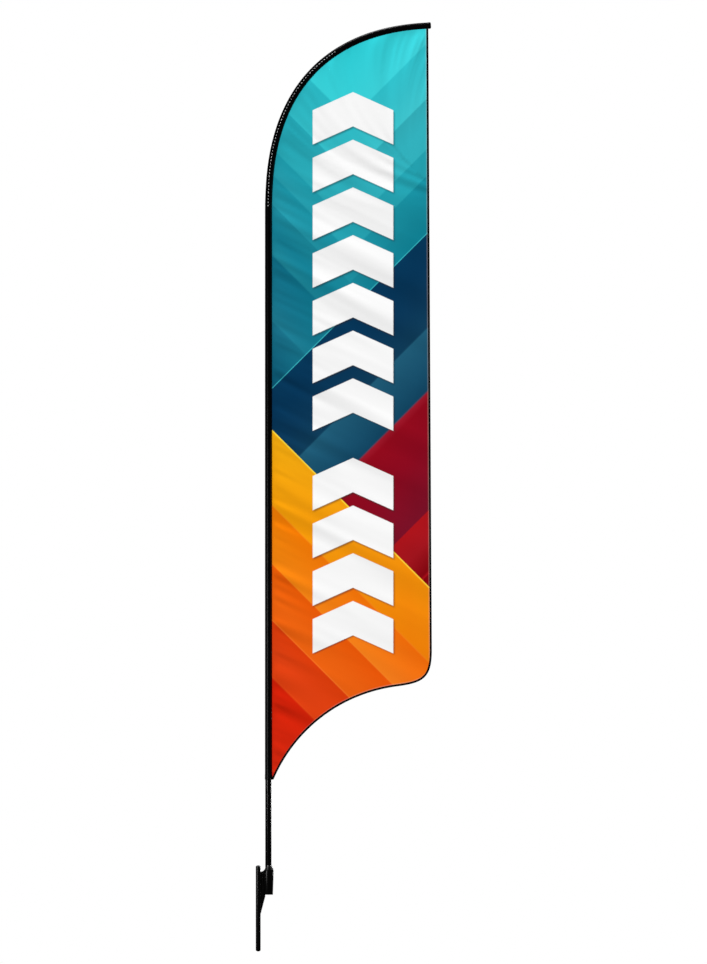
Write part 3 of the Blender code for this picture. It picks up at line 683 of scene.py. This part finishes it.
# Tip pocket.
# The sleeve's end is closed by a doubled pocket of the same cloth, which the capped rod pushes
# into and which takes the whole pull of the bend.
POCKET_SWELL = 0.0006
POCKET_FULL = 1.04                # share at the pocket's mouth, where it is as wide as the sleeve
POCKET_STATIONS = ((-0.004, 0.98), (-0.003, 1.03), (0.0, 1.04), (0.004, 1.05), (0.008, 1.03),
                   (0.0100, 0.97), (0.0112, 0.84), (0.0119, 0.60), (0.0122, 0.25))
POCKET_CRUMPLE = 0.0002
end_middle = on_curve(BEND, [1.0])[0]
end_along = along_curve(BEND, [1.0])[0]
end_out = np.array([-end_along[1], end_along[0]])
pocket_rings = []
for beyond, swell in POCKET_STATIONS:
    wide = (HALF_WIDTH[1] + POCKET_SWELL * swell) * swell / POCKET_FULL
    middle = end_middle + end_along * beyond
    ring = []
    for turn in turns():
        reach = float(seam_shift(1.0)) - wide * math.cos(turn)
        y = (BORE[1] + WALL + POCKET_SWELL) * swell * math.sin(turn)
        y += POCKET_CRUMPLE * noise.noise(Vector((beyond * 300, turn * 2.0, 7.0)))
        ring.append((middle[0] - end_out[0] * reach, y, middle[1] - end_out[1] * reach))
    pocket_rings.append(ring)
pocket = skinned("tip_pocket_cloth", pocket_rings, crease_angle=60)
finished(pocket, sleeve_cloth, "flag_and_tip", "sleeve_cloth", "tip_pocket")


# Printed panel.
# One piece of knitted polyester, dyed through so that both faces carry the print, cut to the
# feather shape and pulled tight between the sleeve and the bend, with soft creases off the sleeve.
TRAIL_LOW = (0.7602, 1.1360)
TRAIL_HIGH = (0.7438, 4.0407)
HOLLOW_TOP = (0.59950, 0.96930)
LOWER_HOLLOW = ((0.02453, 0.5369), (0.11692, 0.75236), (0.31719, 0.93184), HOLLOW_TOP)
LOWER_CORNER = (HOLLOW_TOP, (0.71865, 0.98512), (TRAIL_LOW[0], 1.00620), TRAIL_LOW)
HEM_WIDTH = 0.0098
TUCK = 0.0042                 # how far the panel runs into the bindings
LAP_TUCK = 0.0010             # how far it runs into the sleeve's lap
CLOTH_THICKNESS = 0.0005
COLUMNS = 96
COLUMN_CROWDING = 0.62        # how far the columns crowd to both edges
ROWS = 380
ROW_START = 0.45              # pitch of the lowest rows, as a share of the mean
ROW_POWER = 1.6
FOOT_FADE = 1.5               # how fast the lower edge's shape dies away up the rows
CREASES = ((0.0090, 0.080, 0.60, 1.37), (0.0060, 0.038, 0.40, 2.41),
           (0.0030, 0.019, 0.28, 3.33))     # each with its depth, width, length and seed
CREASE_FALL = 0.50            # how far a crease drops for each metre from the sleeve
CREASE_FADE = 0.22
CREASE_START = 0.028
OPEN_WAVES = (0.0055, 0.11, 0.60, 4.45)
OPEN_START = 0.1
EDGE_CURL = (0.0032, 0.42, 0.30, 5.38)
CURL_PLACE = (0.045, 0.03)    # in from the trailing edge, and how wide
BILLOW = 0.0065
BILLOW_SPAN = (0.62, 2.35)    # across the cloth and up it
BILLOW_START = 0.9
SEAM_HOLD = 0.006             # width in which the lap holds the cloth flat
TOP_HOLD = 0.03               # share of the rows in which the tip holds it flat
SLEEVE_STEP = 0.0001          # steps in which the nearest place on the sleeve is found


def resampled(points, shares):
    """Points at given shares of a polyline's length."""
    steps = np.linalg.norm(np.diff(points, axis=0), axis=1)
    run = np.concatenate([[0.0], np.cumsum(steps)]) / steps.sum()
    return np.stack([np.interp(shares, run, points[:, i]) for i in (0, 1)], axis=1)


def lower_line(inset):
    """The flag's lower edge from the sleeve to the trailing edge, moved in by inset."""
    t = np.linspace(0.0, 1.0, 120)
    points = np.concatenate([on_curve(LOWER_HOLLOW, t), on_curve(LOWER_CORNER, t[1:])])
    ways = np.concatenate([along_curve(LOWER_HOLLOW, t), along_curve(LOWER_CORNER, t[1:])])
    return points + np.stack([-ways[:, 1], ways[:, 0]], axis=1) * inset


def trailing_x(height, inset):
    """The straight trailing edge at a height, moved in by inset."""
    share = (height - TRAIL_LOW[1]) / (TRAIL_HIGH[1] - TRAIL_LOW[1])
    return TRAIL_LOW[0] + (TRAIL_HIGH[0] - TRAIL_LOW[0]) * share - inset


def sleeve_side(low, tuck):
    """The sleeve's flag side from a height up to the tip, moved into the sleeve by tuck."""
    shares, middles, outward, _ = spine(low)
    wide = HALF_WIDTH[0] + (HALF_WIDTH[1] - HALF_WIDTH[0]) * shares
    return middles - outward * (wide + seam_shift(shares) - tuck)[:, None]


lap_x = HALF_WIDTH[0] + SEAM_SHIFT - LAP_TUCK
bottom_line = lower_line(HEM_WIDTH - TUCK)
first = int(np.argmax(bottom_line[:, 0] > lap_x))
share = (lap_x - bottom_line[first - 1, 0]) / (bottom_line[first, 0] - bottom_line[first - 1, 0])
cut = bottom_line[first - 1] + (bottom_line[first] - bottom_line[first - 1]) * share
bottom_line = np.concatenate([[cut], bottom_line[first:]])
leading_line = sleeve_side(cut[1], LAP_TUCK)
top_z = TRAIL_HIGH[1]
for _ in range(6):            # closes in on the corner where both edges meet
    top_x = trailing_x(top_z, HEM_WIDTH - TUCK)
    top_z = float(np.interp(top_x, leading_line[-60:, 0], leading_line[-60:, 1]))
leading_line = np.concatenate([leading_line[leading_line[:, 0] < top_x], [[top_x, top_z]]])
trailing_line = np.array([bottom_line[-1], [top_x, top_z]])

t_across = np.linspace(0.0, 1.0, COLUMNS + 1)
across = t_across - COLUMN_CROWDING * np.sin(2 * math.pi * t_across) / (2 * math.pi)
t_up = np.linspace(0.0, 1.0, ROWS + 1)
up = ROW_START * t_up + (1.0 - ROW_START) * t_up ** ROW_POWER
bottom = resampled(bottom_line, across)
leading = resampled(leading_line, up)
trailing = resampled(trailing_line, up)
chord = bottom[0] + (bottom[-1] - bottom[0]) * across[:, None]
fade = ((1.0 - up) ** FOOT_FADE)[:, None, None]
flat = (leading[:, None, :] * (1.0 - across)[None, :, None]
        + trailing[:, None, :] * across[None, :, None] + fade * (bottom - chord)[None, :, :])
leading_run = np.concatenate([[0.0], np.cumsum(np.linalg.norm(np.diff(leading_line, axis=0),
                                                              axis=1))])
fine_run = np.arange(0.0, leading_run[-1], SLEEVE_STEP)
fine_line = np.stack([np.interp(fine_run, leading_run, leading_line[:, i]) for i in (0, 1)], axis=1)
finder = kdtree.KDTree(len(fine_line))
for i, (x, z) in enumerate(fine_line):
    finder.insert((x, z, 0.0), i)
finder.balance()
nearest = [finder.find((x, z, 0.0)) for x, z in flat.reshape(-1, 2)]
run_up = np.array([fine_run[hit[1]] for hit in nearest]).reshape(flat.shape[:2])
from_sleeve = np.array([hit[2] for hit in nearest]).reshape(flat.shape[:2])
from_trail = trailing_x(flat[:, :, 1], HEM_WIDTH) - flat[:, :, 0]
from_foot = np.linalg.norm(flat - bottom[None, :, :], axis=2) - TUCK


def noise_at(a, b, c):
    """Noise at each pair of two arrays."""
    rough = [noise.noise(Vector((x, y, c))) for x, y in zip(a.ravel(), b.ravel())]
    return np.array(rough).reshape(a.shape)


def folds(along, across, depth, width, length, seed):
    """Folds of a depth and width that run a length across."""
    return depth * noise_at(along / width, across / length, seed)


def grown(away, reach):
    """0 at an edge, rising to 1 well past a reach."""
    return 1.0 - np.exp(-away / reach)


def cloth_lift(run, away, height, trail):
    """How far the tight cloth stands out of its plane: creases off the sleeve and a slow billow."""
    slant = run + CREASE_FALL * away
    near = np.exp(-away / CREASE_FADE) * grown(away, CREASE_START)
    lift = near * sum(folds(slant, away, *crease) for crease in CREASES)
    lift += grown(away, OPEN_START) * folds(slant, away, *OPEN_WAVES)
    curl = np.exp(-((trail - CURL_PLACE[0]) / CURL_PLACE[1]) ** 2)
    lift += curl * folds(height, trail, *EDGE_CURL)
    billow = np.sin(2 * math.pi * height / BILLOW_SPAN[1] + BILLOW_START)
    lift += BILLOW * eased_share(away / BILLOW_SPAN[0]) * billow
    return lift * grown(away, SEAM_HOLD)


lift = cloth_lift(run_up, from_sleeve, flat[:, :, 1], from_trail)
lift = lift * eased_share((1.0 - up) / TOP_HOLD)[:, None]

shape = bmesh.new()
cut_layer = shape.verts.layers.float_vector.new("cut")
rim_layer = shape.verts.layers.float_vector.new("rim")
faces = []
for side in (-1, 1):
    face = []
    for i in range(ROWS + 1):
        row = []
        for j in range(COLUMNS + 1):
            if i == ROWS and j > 0:
                row.append(row[0])
                continue
            x, z = flat[i, j]
            vert = shape.verts.new((x, lift[i, j] + side * CLOTH_THICKNESS / 2, z))
            vert[cut_layer] = (x, z, 0.0)
            vert[rim_layer] = (from_sleeve[i, j], from_trail[i, j], from_foot[i, j])
            row.append(vert)
        face.append(row)
    faces.append(face)
front, back = faces
for face, flip in ((front, False), (back, True)):
    for i in range(ROWS):
        for j in range(COLUMNS):
            corners = [face[i][j], face[i][j + 1], face[i + 1][j + 1], face[i + 1][j]]
            corners = list(dict.fromkeys(corners))
            shape.faces.new(corners[::-1] if flip else corners)
edge_path = [(0, j) for j in range(COLUMNS)] + [(i, COLUMNS) for i in range(ROWS)]
edge_path += [(i, 0) for i in range(ROWS, 0, -1)]
for (a, b), (c, d) in zip(edge_path, edge_path[1:] + edge_path[:1]):
    shape.faces.new((back[a][b], back[c][d], front[c][d], front[a][b]))
panel = shaded("printed_panel", shape, 60)


def ink(red, green, blue):
    """A printed colour of 0 to 255 as the linear colour that a shader takes."""
    parts = [value / 255 for value in (red, green, blue)]
    return (*(v / 12.92 if v <= 0.04045 else ((v + 0.055) / 1.055) ** 2.4 for v in parts), 1.0)


# The print is a set of slanting bands. Each row of a table is a height at which a slanting line
# meets the pole's axis, and the ink on that line.
NEST_SHIFT = 0.760           # from the falling to the rising arms of the teal chevron nest
TEAL_LEFT = ((2.40, 10, 84, 110), (2.58, 19, 102, 126), (2.681, 24, 108, 131),
             (2.685, 30, 122, 144), (2.80, 22, 114, 137), (2.991, 14, 106, 129),
             (2.995, 30, 131, 149), (3.10, 20, 124, 145), (3.224, 27, 131, 149),
             (3.228, 36, 148, 165), (3.364, 26, 143, 161), (3.368, 38, 155, 171),
             (3.488, 29, 152, 168), (3.492, 40, 166, 179), (3.722, 32, 160, 174),
             (3.728, 46, 182, 193), (3.979, 38, 176, 188), (3.985, 52, 206, 213),
             (4.30, 46, 204, 212))
TEAL_RIGHT = ((3.05, 12, 126, 145), (3.20, 20, 133, 151), (3.364, 24, 143, 160),
              (3.368, 36, 160, 174), (3.488, 36, 162, 176), (3.492, 50, 178, 190),
              (3.60, 50, 178, 190), (3.722, 49, 170, 181), (3.728, 62, 196, 205),
              (3.85, 54, 191, 201), (3.979, 49, 192, 202), (3.985, 62, 208, 216),
              (4.30, 46, 205, 213))
DUSK = ((0.60, 132, 4, 16), (0.742, 130, 3, 16), (0.746, 168, 16, 26), (0.760, 150, 8, 20),
        (0.764, 128, 4, 15), (0.90, 160, 20, 29), (1.040, 170, 19, 26), (1.044, 118, 16, 38),
        (1.35, 136, 9, 30), (1.55, 142, 9, 27), (1.598, 156, 24, 42), (1.602, 16, 66, 94),
        (1.70, 22, 76, 104), (1.895, 31, 90, 117), (1.899, 14, 58, 86), (2.05, 10, 54, 86),
        (2.20, 6, 52, 86), (2.331, 6, 54, 88))
BLAZE_LEFT = ((0.50, 172, 34, 24), (0.595, 196, 32, 20), (0.599, 214, 62, 30),
              (0.603, 213, 40, 15), (0.85, 209, 36, 11), (1.025, 206, 31, 7), (1.029, 232, 92, 30),
              (1.033, 221, 64, 17), (1.15, 220, 64, 18), (1.290, 216, 59, 10),
              (1.2945, 242, 116, 34), (1.299, 234, 97, 16), (1.40, 233, 98, 15),
              (1.551, 229, 90, 6), (1.555, 247, 142, 36), (1.559, 242, 132, 16),
              (1.68, 239, 128, 11), (1.826, 234, 120, 3), (1.830, 250, 170, 40),
              (1.834, 241, 156, 10), (1.95, 241, 160, 12), (2.170, 241, 170, 16),
              (2.176, 255, 226, 60), (2.182, 255, 226, 60))
BLAZE_RIGHT = ((0.50, 172, 34, 24), (1.025, 212, 44, 12), (1.029, 236, 96, 34),
               (1.033, 226, 66, 18), (1.290, 224, 62, 12), (1.2945, 246, 120, 40),
               (1.299, 238, 99, 20), (1.551, 233, 84, 8), (1.555, 250, 142, 50),
               (1.559, 243, 122, 30), (1.70, 241, 114, 18), (1.826, 239, 107, 9),
               (1.830, 250, 156, 40), (1.834, 239, 128, 8), (1.98, 240, 133, 10),
               (2.170, 240, 142, 10), (2.176, 254, 214, 60), (2.182, 254, 214, 60))
DUSK_LINE = 2.335
BLAZE_LINE = 2.180
LINE_SOFT = 0.0016
SIDE_INKS = (0.06, 0.60)      # where the left inks begin to turn to the right ones, and how far
EDGE_INK = ink(70, 205, 212)
EDGE_RISE = 0.003             # pale line over the dusk line
EDGE_HALF = 0.0045
OVERPRINT = 0.75              # strength of the pale line and of the chevrons' shade
CHEVRON_WHITE = ink(246, 246, 246)
CHEVRON_SHADE = ink(28, 30, 34)
CHEVRON_MIDDLE = 0.3935
CHEVRON_HALF = 0.1875
CHEVRON_SLOPE = 0.45
CHEVRON_BAND = 0.160
CHEVRON_PITCH = 0.2220
CHEVRON_SOFT = 0.0018
CHEVRON_GROUPS = ((3.733, 7), (2.032, 4))     # height of the top point, and how many
SHADE_SHIFT = (0.0040, -0.0060)
SHADE_SOFT = 0.0075
# Painted highlight: a pale tint laid over the print beside the bindings.
PAINTED_RIM_LIGHT = ink(255, 240, 225)
RIM_WIDTH = 0.0028            # width of the painted highlight, a pale band on the cloth beside the bindings
RIM_SOFT = 0.0026
RIM_SHARE = 0.17
KNIT_PITCH = 0.0011
KNIT_DEPTH = 0.00005

print_paint, print_tree, print_shader, _ = painted("printed_knit", (0.8, 0.8, 0.8), 0.72,
                                                   gloss=0.008)


def calc(operation, *values):
    """One step of arithmetic in the print; values are sockets or numbers."""
    return wired(print_tree, "ShaderNodeMath", enumerate(values), operation=operation).outputs[0]


def spread(value, low, high):
    """A value's share of the way from low to high."""
    return wired(print_tree, "ShaderNodeMapRange", {"Value": value, "From Min": low,
                                                    "From Max": high}).outputs[0]


def past(value, line, soft=LINE_SOFT):
    """0 before a line and 1 beyond it, with a soft edge."""
    return spread(value, line - soft, line + soft)


def before(value, line, soft=LINE_SOFT):
    """1 before a line and 0 beyond it."""
    return calc("SUBTRACT", 1.0, past(value, line, soft))


def printed_bands(value, table):
    """The inks of a table along a slant."""
    low, high = table[0][0], table[-1][0]
    ramp = wired(print_tree, "ShaderNodeValToRGB", {"Fac": spread(value, low, high)})
    stops = ramp.color_ramp.elements
    while len(stops) < len(table):
        stops.new(1.0)
    for stop, (height, *colour) in zip(stops, table):
        stop.position = (height - low) / (high - low)
        stop.color = ink(*colour)
    return ramp.outputs["Color"]


def overlay(below, above, share):
    """One ink over another; each is a socket or a colour."""
    return wired(print_tree, "ShaderNodeMix", {0: share, 6: below, 7: above},
                 data_type="RGBA").outputs[2]


def marked(name):
    """A vector stored on the panel's points, and its three parts."""
    stored = wired(print_tree, "ShaderNodeAttribute", attribute_name=name).outputs["Vector"]
    return (stored, *wired(print_tree, "ShaderNodeSeparateXYZ", {0: stored}).outputs)


def chevrons(across, height, soft):
    """1 inside the column of upward chevrons and 0 outside."""
    off = calc("ABSOLUTE", calc("SUBTRACT", across, CHEVRON_MIDDLE))
    level = calc("ADD", height, calc("MULTIPLY", off, CHEVRON_SLOPE))
    shown = 0.0
    for top, count in CHEVRON_GROUPS:
        depth = calc("SUBTRACT", top, level)
        group_depth = (count - 1) * CHEVRON_PITCH + CHEVRON_BAND
        within = calc("MULTIPLY", past(depth, 0.0, soft), before(depth, group_depth, soft))
        phase = calc("PINGPONG", calc("SUBTRACT", depth, CHEVRON_BAND / 2), CHEVRON_PITCH / 2)
        group = calc("MULTIPLY", within, before(phase, CHEVRON_BAND / 2, soft))
        shown = calc("MAXIMUM", shown, group)
    return calc("MULTIPLY", shown, before(off, CHEVRON_HALF, soft))


cut_vector, cut_x, cut_z, _ = marked("cut")
_, _, off_trail, off_foot = marked("rim")
rising = calc("SUBTRACT", cut_z, cut_x)
falling = calc("ADD", cut_z, cut_x)
nest = calc("MINIMUM", falling, calc("ADD", rising, NEST_SHIFT))
sideways = calc("DIVIDE", calc("SUBTRACT", cut_x, SIDE_INKS[0]), SIDE_INKS[1])
sideways = calc("MINIMUM", calc("MAXIMUM", sideways, 0.0), 1.0)
teal = overlay(printed_bands(nest, TEAL_LEFT), printed_bands(nest, TEAL_RIGHT), sideways)
blaze = overlay(printed_bands(falling, BLAZE_LEFT), printed_bands(falling, BLAZE_RIGHT), sideways)
colour = overlay(printed_bands(rising, DUSK), teal, past(rising, DUSK_LINE))
from_edge = calc("ABSOLUTE", calc("SUBTRACT", rising, DUSK_LINE + EDGE_RISE))
edge_line = calc("SUBTRACT", 1.0, calc("MINIMUM", calc("DIVIDE", from_edge, EDGE_HALF), 1.0))
colour = overlay(colour, EDGE_INK, calc("MULTIPLY", edge_line, OVERPRINT))
colour = overlay(blaze, colour, past(falling, BLAZE_LINE))
shade = chevrons(calc("SUBTRACT", cut_x, SHADE_SHIFT[0]), calc("SUBTRACT", cut_z, SHADE_SHIFT[1]),
                 SHADE_SOFT)
colour = overlay(colour, CHEVRON_SHADE, calc("MULTIPLY", shade, OVERPRINT))
colour = overlay(colour, CHEVRON_WHITE, chevrons(cut_x, cut_z, CHEVRON_SOFT))
# Painted highlight: the print is paled in a narrow band beside the trailing and lower bindings.
rim = before(calc("MINIMUM", off_trail, off_foot), RIM_WIDTH, RIM_SOFT)
colour = overlay(colour, PAINTED_RIM_LIGHT, calc("MULTIPLY", rim, RIM_SHARE))
print_tree.links.new(colour, print_shader.inputs["Base Color"])
knit = wired(print_tree, "ShaderNodeTexWave", {"Vector": cut_vector, "Distortion": 1.2,
                                               "Detail": 1.0, "Scale": wave_scale(KNIT_PITCH)},
             bands_direction="X")
relief(print_tree, print_shader, knit.outputs["Fac"], KNIT_DEPTH, 0.5)
finished(panel, print_paint, "flag_and_tip", "flag_cloth", "flag_panel")


# Bindings.
# Black woven tape folded over the panel's raw edges and sewn through. One length follows the
# hollow lower edge and the round corner, and another runs straight up the trailing edge.
HEM_PROFILE = ((0.0, 0.0), (0.0003, 0.00055), (0.0010, 0.00090), (0.0022, 0.00100),
               (0.0050, 0.00096), (0.0078, 0.00100), (0.0092, 0.00085), (HEM_WIDTH, 0.00035))
SLEEVE_GAP = 0.0002           # tape clear of the sleeve's lap
TAPE_GAP = 0.0001             # one tape clear of the other
TRAIL_LEAN = 0.0057           # how far the trailing edge leans in for each metre up
TRAIL_RINGS = 340
TRAIL_OVERRUN = 0.0032        # tape's run up into the sleeve, past its CAD solid
hem_cloth = woven("black_binding_tape", ((0.0008, 0.0008, 0.0009), (0.0022, 0.0022, 0.0023)),
                  0.0008, 0.50, 0.08, 0.00006)


def lift_near(points):
    """The panel's stand-out at points beside its edges, from its own border."""
    border = np.concatenate([flat[0], flat[:, -1]])
    lifts = np.concatenate([lift[0], lift[:, -1]])
    gaps = np.linalg.norm(points[:, None, :] - border[None, :, :], axis=2)
    near = np.argsort(gaps, axis=1)[:, :2]
    weights = 1.0 / (np.take_along_axis(gaps, near, axis=1) + 1e-5)
    return (lifts[near] * weights).sum(axis=1) / weights.sum(axis=1)


def binding(name, path, inward, node):
    """Folded tape along a path of points, with its inner side towards inward."""
    rise = lift_near(path + inward * (HEM_WIDTH - TUCK))
    profile = list(HEM_PROFILE) + [(w, -y) for w, y in HEM_PROFILE[:0:-1]]
    rings = []
    for point, way, y0 in zip(path, inward, rise):
        rings.append([(max(point[0] + way[0] * reach, lap_x + SLEEVE_GAP), y0 + y,
                       point[1] + way[1] * reach) for reach, y in profile])
    tape = skinned(name, rings, crease_angle=50)
    return finished(tape, hem_cloth, "flag_and_tip", "hem_cloth", node)


lower_path = lower_line(0.0)
lower_in = lower_line(1.0) - lower_path
corner_path = np.array([[lap_x + 0.0004, mouth], [0.0205, mouth + 0.0002],
                        [0.0226, mouth + 0.0008]])     # the tape's turned end beside the sleeve
corner_in = np.array([[0.0, 1.0], [-0.15, 0.99], [-0.55, 0.83]])
lower_path = np.concatenate([corner_path, lower_path])
lower_in = np.concatenate([corner_in, lower_in])
lower_tape = binding("lower_binding", lower_path, lower_in, "bottom_hem")
trail_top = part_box("trailing_hem")[1][2] + TRAIL_OVERRUN
trail_z = np.linspace(TRAIL_LOW[1] + TAPE_GAP, trail_top, TRAIL_RINGS)
trail_path = np.stack([trailing_x(trail_z, 0.0), trail_z], axis=1)
trail_in = np.tile([-1.0, -TRAIL_LEAN], (TRAIL_RINGS, 1))
trail_tape = binding("trailing_binding", trail_path, trail_in, "trailing_hem")


# Stitching.
# Lines of lockstitch in black thread hold the bindings and the sleeve's lap. A row of longer
# stitches in pale thread follows the bend; the pale thread is a painted highlight on the sleeve.
STITCH_SIDES = 6
STITCH_RINGS = 4
STITCH_SIZES = {"Pitch": 0.0062, "Stitch Length": 0.0044, "Thread Radius": 0.00032, "Waver": 0.05}
LAP_STITCH = (0.0062, 0.0044, 0.00030)
CUFF_STITCH = (0.0050, 0.0034, 0.00034)
TAKE_UP_STITCH = (0.0150, 0.0095, 0.00110, 0.3)
HEM_ROW = (0.0079, 0.00108)        # row's place in from the tape's edge, and off its middle
HEM_ROW_START = 0.002              # from the lap
LAP_ROW = (0.0012, 0.00075)
LAP_ROW_START = 0.03               # above the sleeve's mouth
CUFF_ROW = (0.0035, 0.0001)        # rows in from the cuff's two edges, and off its cloth
TAKE_UP = (0.020, 0.66)            # shares of the bend between which the pale row runs
TAKE_UP_IN = (0.0148, 0.0114)      # in from the sleeve's outer fold, at the foot and past a fifth
TAKE_UP_OFF = 0.0002
TAKE_UP_STEPS = 90


def stitch_tree(name, thread):
    """Geometry nodes that lay one grain-shaped stitch at each step along an edge line."""
    tree = bpy.data.node_groups.new(name, "GeometryNodeTree")
    face = tree.interface
    face.new_socket("Geometry", in_out="INPUT", socket_type="NodeSocketGeometry")
    for label, value in STITCH_SIZES.items():
        face.new_socket(label, in_out="INPUT", socket_type="NodeSocketFloat").default_value = value
    face.new_socket("Geometry", in_out="OUTPUT", socket_type="NodeSocketGeometry")
    given = wired(tree, "NodeGroupInput").outputs
    line = wired(tree, "GeometryNodeMeshToCurve", {"Mesh": given["Geometry"]})
    steps = wired(tree, "GeometryNodeResampleCurve", {"Curve": line.outputs["Curve"],
                                                      "Length": given["Pitch"]}, mode="LENGTH")
    grain = wired(tree, "GeometryNodeMeshUVSphere", {"Segments": STITCH_SIDES,
                                                     "Rings": STITCH_RINGS, "Radius": 1.0})
    half = wired(tree, "ShaderNodeMath", {0: given["Stitch Length"], 1: 0.5},
                 operation="MULTIPLY")
    size = wired(tree, "ShaderNodeCombineXYZ", {"X": given["Thread Radius"],
                                                "Y": given["Thread Radius"],
                                                "Z": half.outputs[0]})
    tangent = wired(tree, "GeometryNodeInputTangent")
    aim = wired(tree, "FunctionNodeAlignRotationToVector", {"Vector": tangent.outputs[0]},
                axis="Z")
    least = wired(tree, "ShaderNodeMath", {0: 1.0, 1: given["Waver"]}, operation="SUBTRACT")
    chance = wired(tree, "FunctionNodeRandomValue", {2: least.outputs[0], 3: 1.0, "Seed": 7},
                   data_type="FLOAT")
    place = wired(tree, "GeometryNodeInstanceOnPoints", {
        "Points": steps.outputs["Curve"], "Instance": grain.outputs["Mesh"],
        "Rotation": aim.outputs[0], "Scale": size.outputs[0]})
    made = wired(tree, "GeometryNodeScaleInstances", {"Instances": place.outputs[0],
                                                      "Scale": chance.outputs[1]})
    for kind in ("GeometryNodeRealizeInstances", "GeometryNodeSetShadeSmooth"):
        made = wired(tree, kind, {"Geometry": made.outputs[0]})
    made = wired(tree, "GeometryNodeSetMaterial", {"Geometry": made.outputs[0],
                                                   "Material": thread})
    wired(tree, "NodeGroupOutput", {"Geometry": made.outputs[0]})
    return tree


def sewn(name, lines, tree, *sizes):
    """One plain mesh of stitches along lines of points, with sizes as in STITCH_SIZES."""
    points, edges = [], []
    for line in lines:
        first = len(points)
        points += [tuple(point) for point in line]
        edges += [(i, i + 1) for i in range(first, len(points) - 1)]
    mesh = bpy.data.meshes.new(name)
    mesh.from_pydata(points, edges, [])
    obj = bpy.data.objects.new(name, mesh)
    scene.collection.objects.link(obj)
    rows = obj.modifiers.new("stitches", "NODES")
    rows.node_group = tree
    given = {**STITCH_SIZES, **dict(zip(STITCH_SIZES, sizes))}
    for socket in tree.interface.items_tree:
        if socket.in_out == "INPUT" and socket.name in given:
            rows[socket.identifier] = given[socket.name]
    return settled(obj)


def thread_paint(name, *tones):
    """Twisted thread."""
    material, tree, shader, place = painted(name, tones[0], 0.5)
    twist = speckle(tree, place, 0.0006, 2.0)
    two_tone(tree, shader, twist, *tones)
    relief(tree, shader, twist, 0.00005)
    return material


black_thread = thread_paint("black_thread", (0.002, 0.002, 0.002), (0.006, 0.006, 0.006))
# The pale thread is a painted highlight: it draws the sleeve's highlight along the bend.
painted_highlight_thread = thread_paint("painted_highlight_thread", (0.70, 0.71, 0.72), (0.85, 0.86, 0.87))
black_rows = stitch_tree("black_stitches", black_thread)
highlight_stitch_rows = stitch_tree("highlight_stitches", painted_highlight_thread)

hem_lines = []
for path, way in ((lower_path[4:-1], lower_in[4:-1]), (trail_path, trail_in)):
    rise = lift_near(path + way * (HEM_WIDTH - TUCK))
    row = path + way * HEM_ROW[0]
    row[:, 0] = np.maximum(row[:, 0], lap_x + HEM_ROW_START)
    for side in (-1, 1):
        hem_lines.append([(x, y + side * HEM_ROW[1], z) for (x, z), y in zip(row, rise)])
hem_stitches = sewn("binding_stitches", hem_lines, black_rows)
finished(hem_stitches, black_thread, "flag_and_tip", "hem_cloth")

lap_row = sleeve_side(mouth + LAP_ROW_START, LAP_ROW[0])
lap_row = lap_row[lap_row[:, 0] < top_x]
lap_lines = [[(x, side * LAP_ROW[1], z) for x, z in lap_row] for side in (-1, 1)]
lap_stitches = sewn("lap_stitches", lap_lines, black_rows, *LAP_STITCH)
finished(lap_stitches, black_thread, "flag_and_tip", "sleeve_cloth")

cuff_lines = []
for z in (mouth + CUFF_ROW[0], cuff_top - CUFF_ROW[0]):
    ring = cloth_ring(0.0, (0.0, z), OUT_WAY, z, CUFF_GROW + CUFF_ROW[1])
    cuff_lines.append(ring + ring[:1])
cuff_stitches = sewn("cuff_stitches", cuff_lines, black_rows, *CUFF_STITCH)
finished(cuff_stitches, black_thread, "flag_and_tip", "sleeve_cloth")

# The pale row, a painted highlight, runs near the sleeve's outer fold on both faces.
take_up_shares = np.linspace(*TAKE_UP, TAKE_UP_STEPS)
take_up_lines = [[], []]
for t, middle, way in zip(take_up_shares, on_curve(BEND, take_up_shares),
                          along_curve(BEND, take_up_shares)):
    wide, bore = sleeve_sizes(t)
    fold_gap = float(np.interp(t, (0.0, 0.2), TAKE_UP_IN))
    reach = wide - float(seam_shift(t)) - fold_gap
    y = (bore + WALL) * math.sqrt(1.0 - (1.0 - fold_gap / wide) ** 2) + TAKE_UP_OFF
    for line, side in zip(take_up_lines, (-1, 1)):
        line.append((middle[0] - way[1] * reach, side * y, middle[1] + way[0] * reach))
take_up_highlight_stitches = sewn("take_up_highlight_stitches", take_up_lines, highlight_stitch_rows, *TAKE_UP_STITCH)
finished(take_up_highlight_stitches, painted_highlight_thread, "flag_and_tip", "sleeve_cloth")
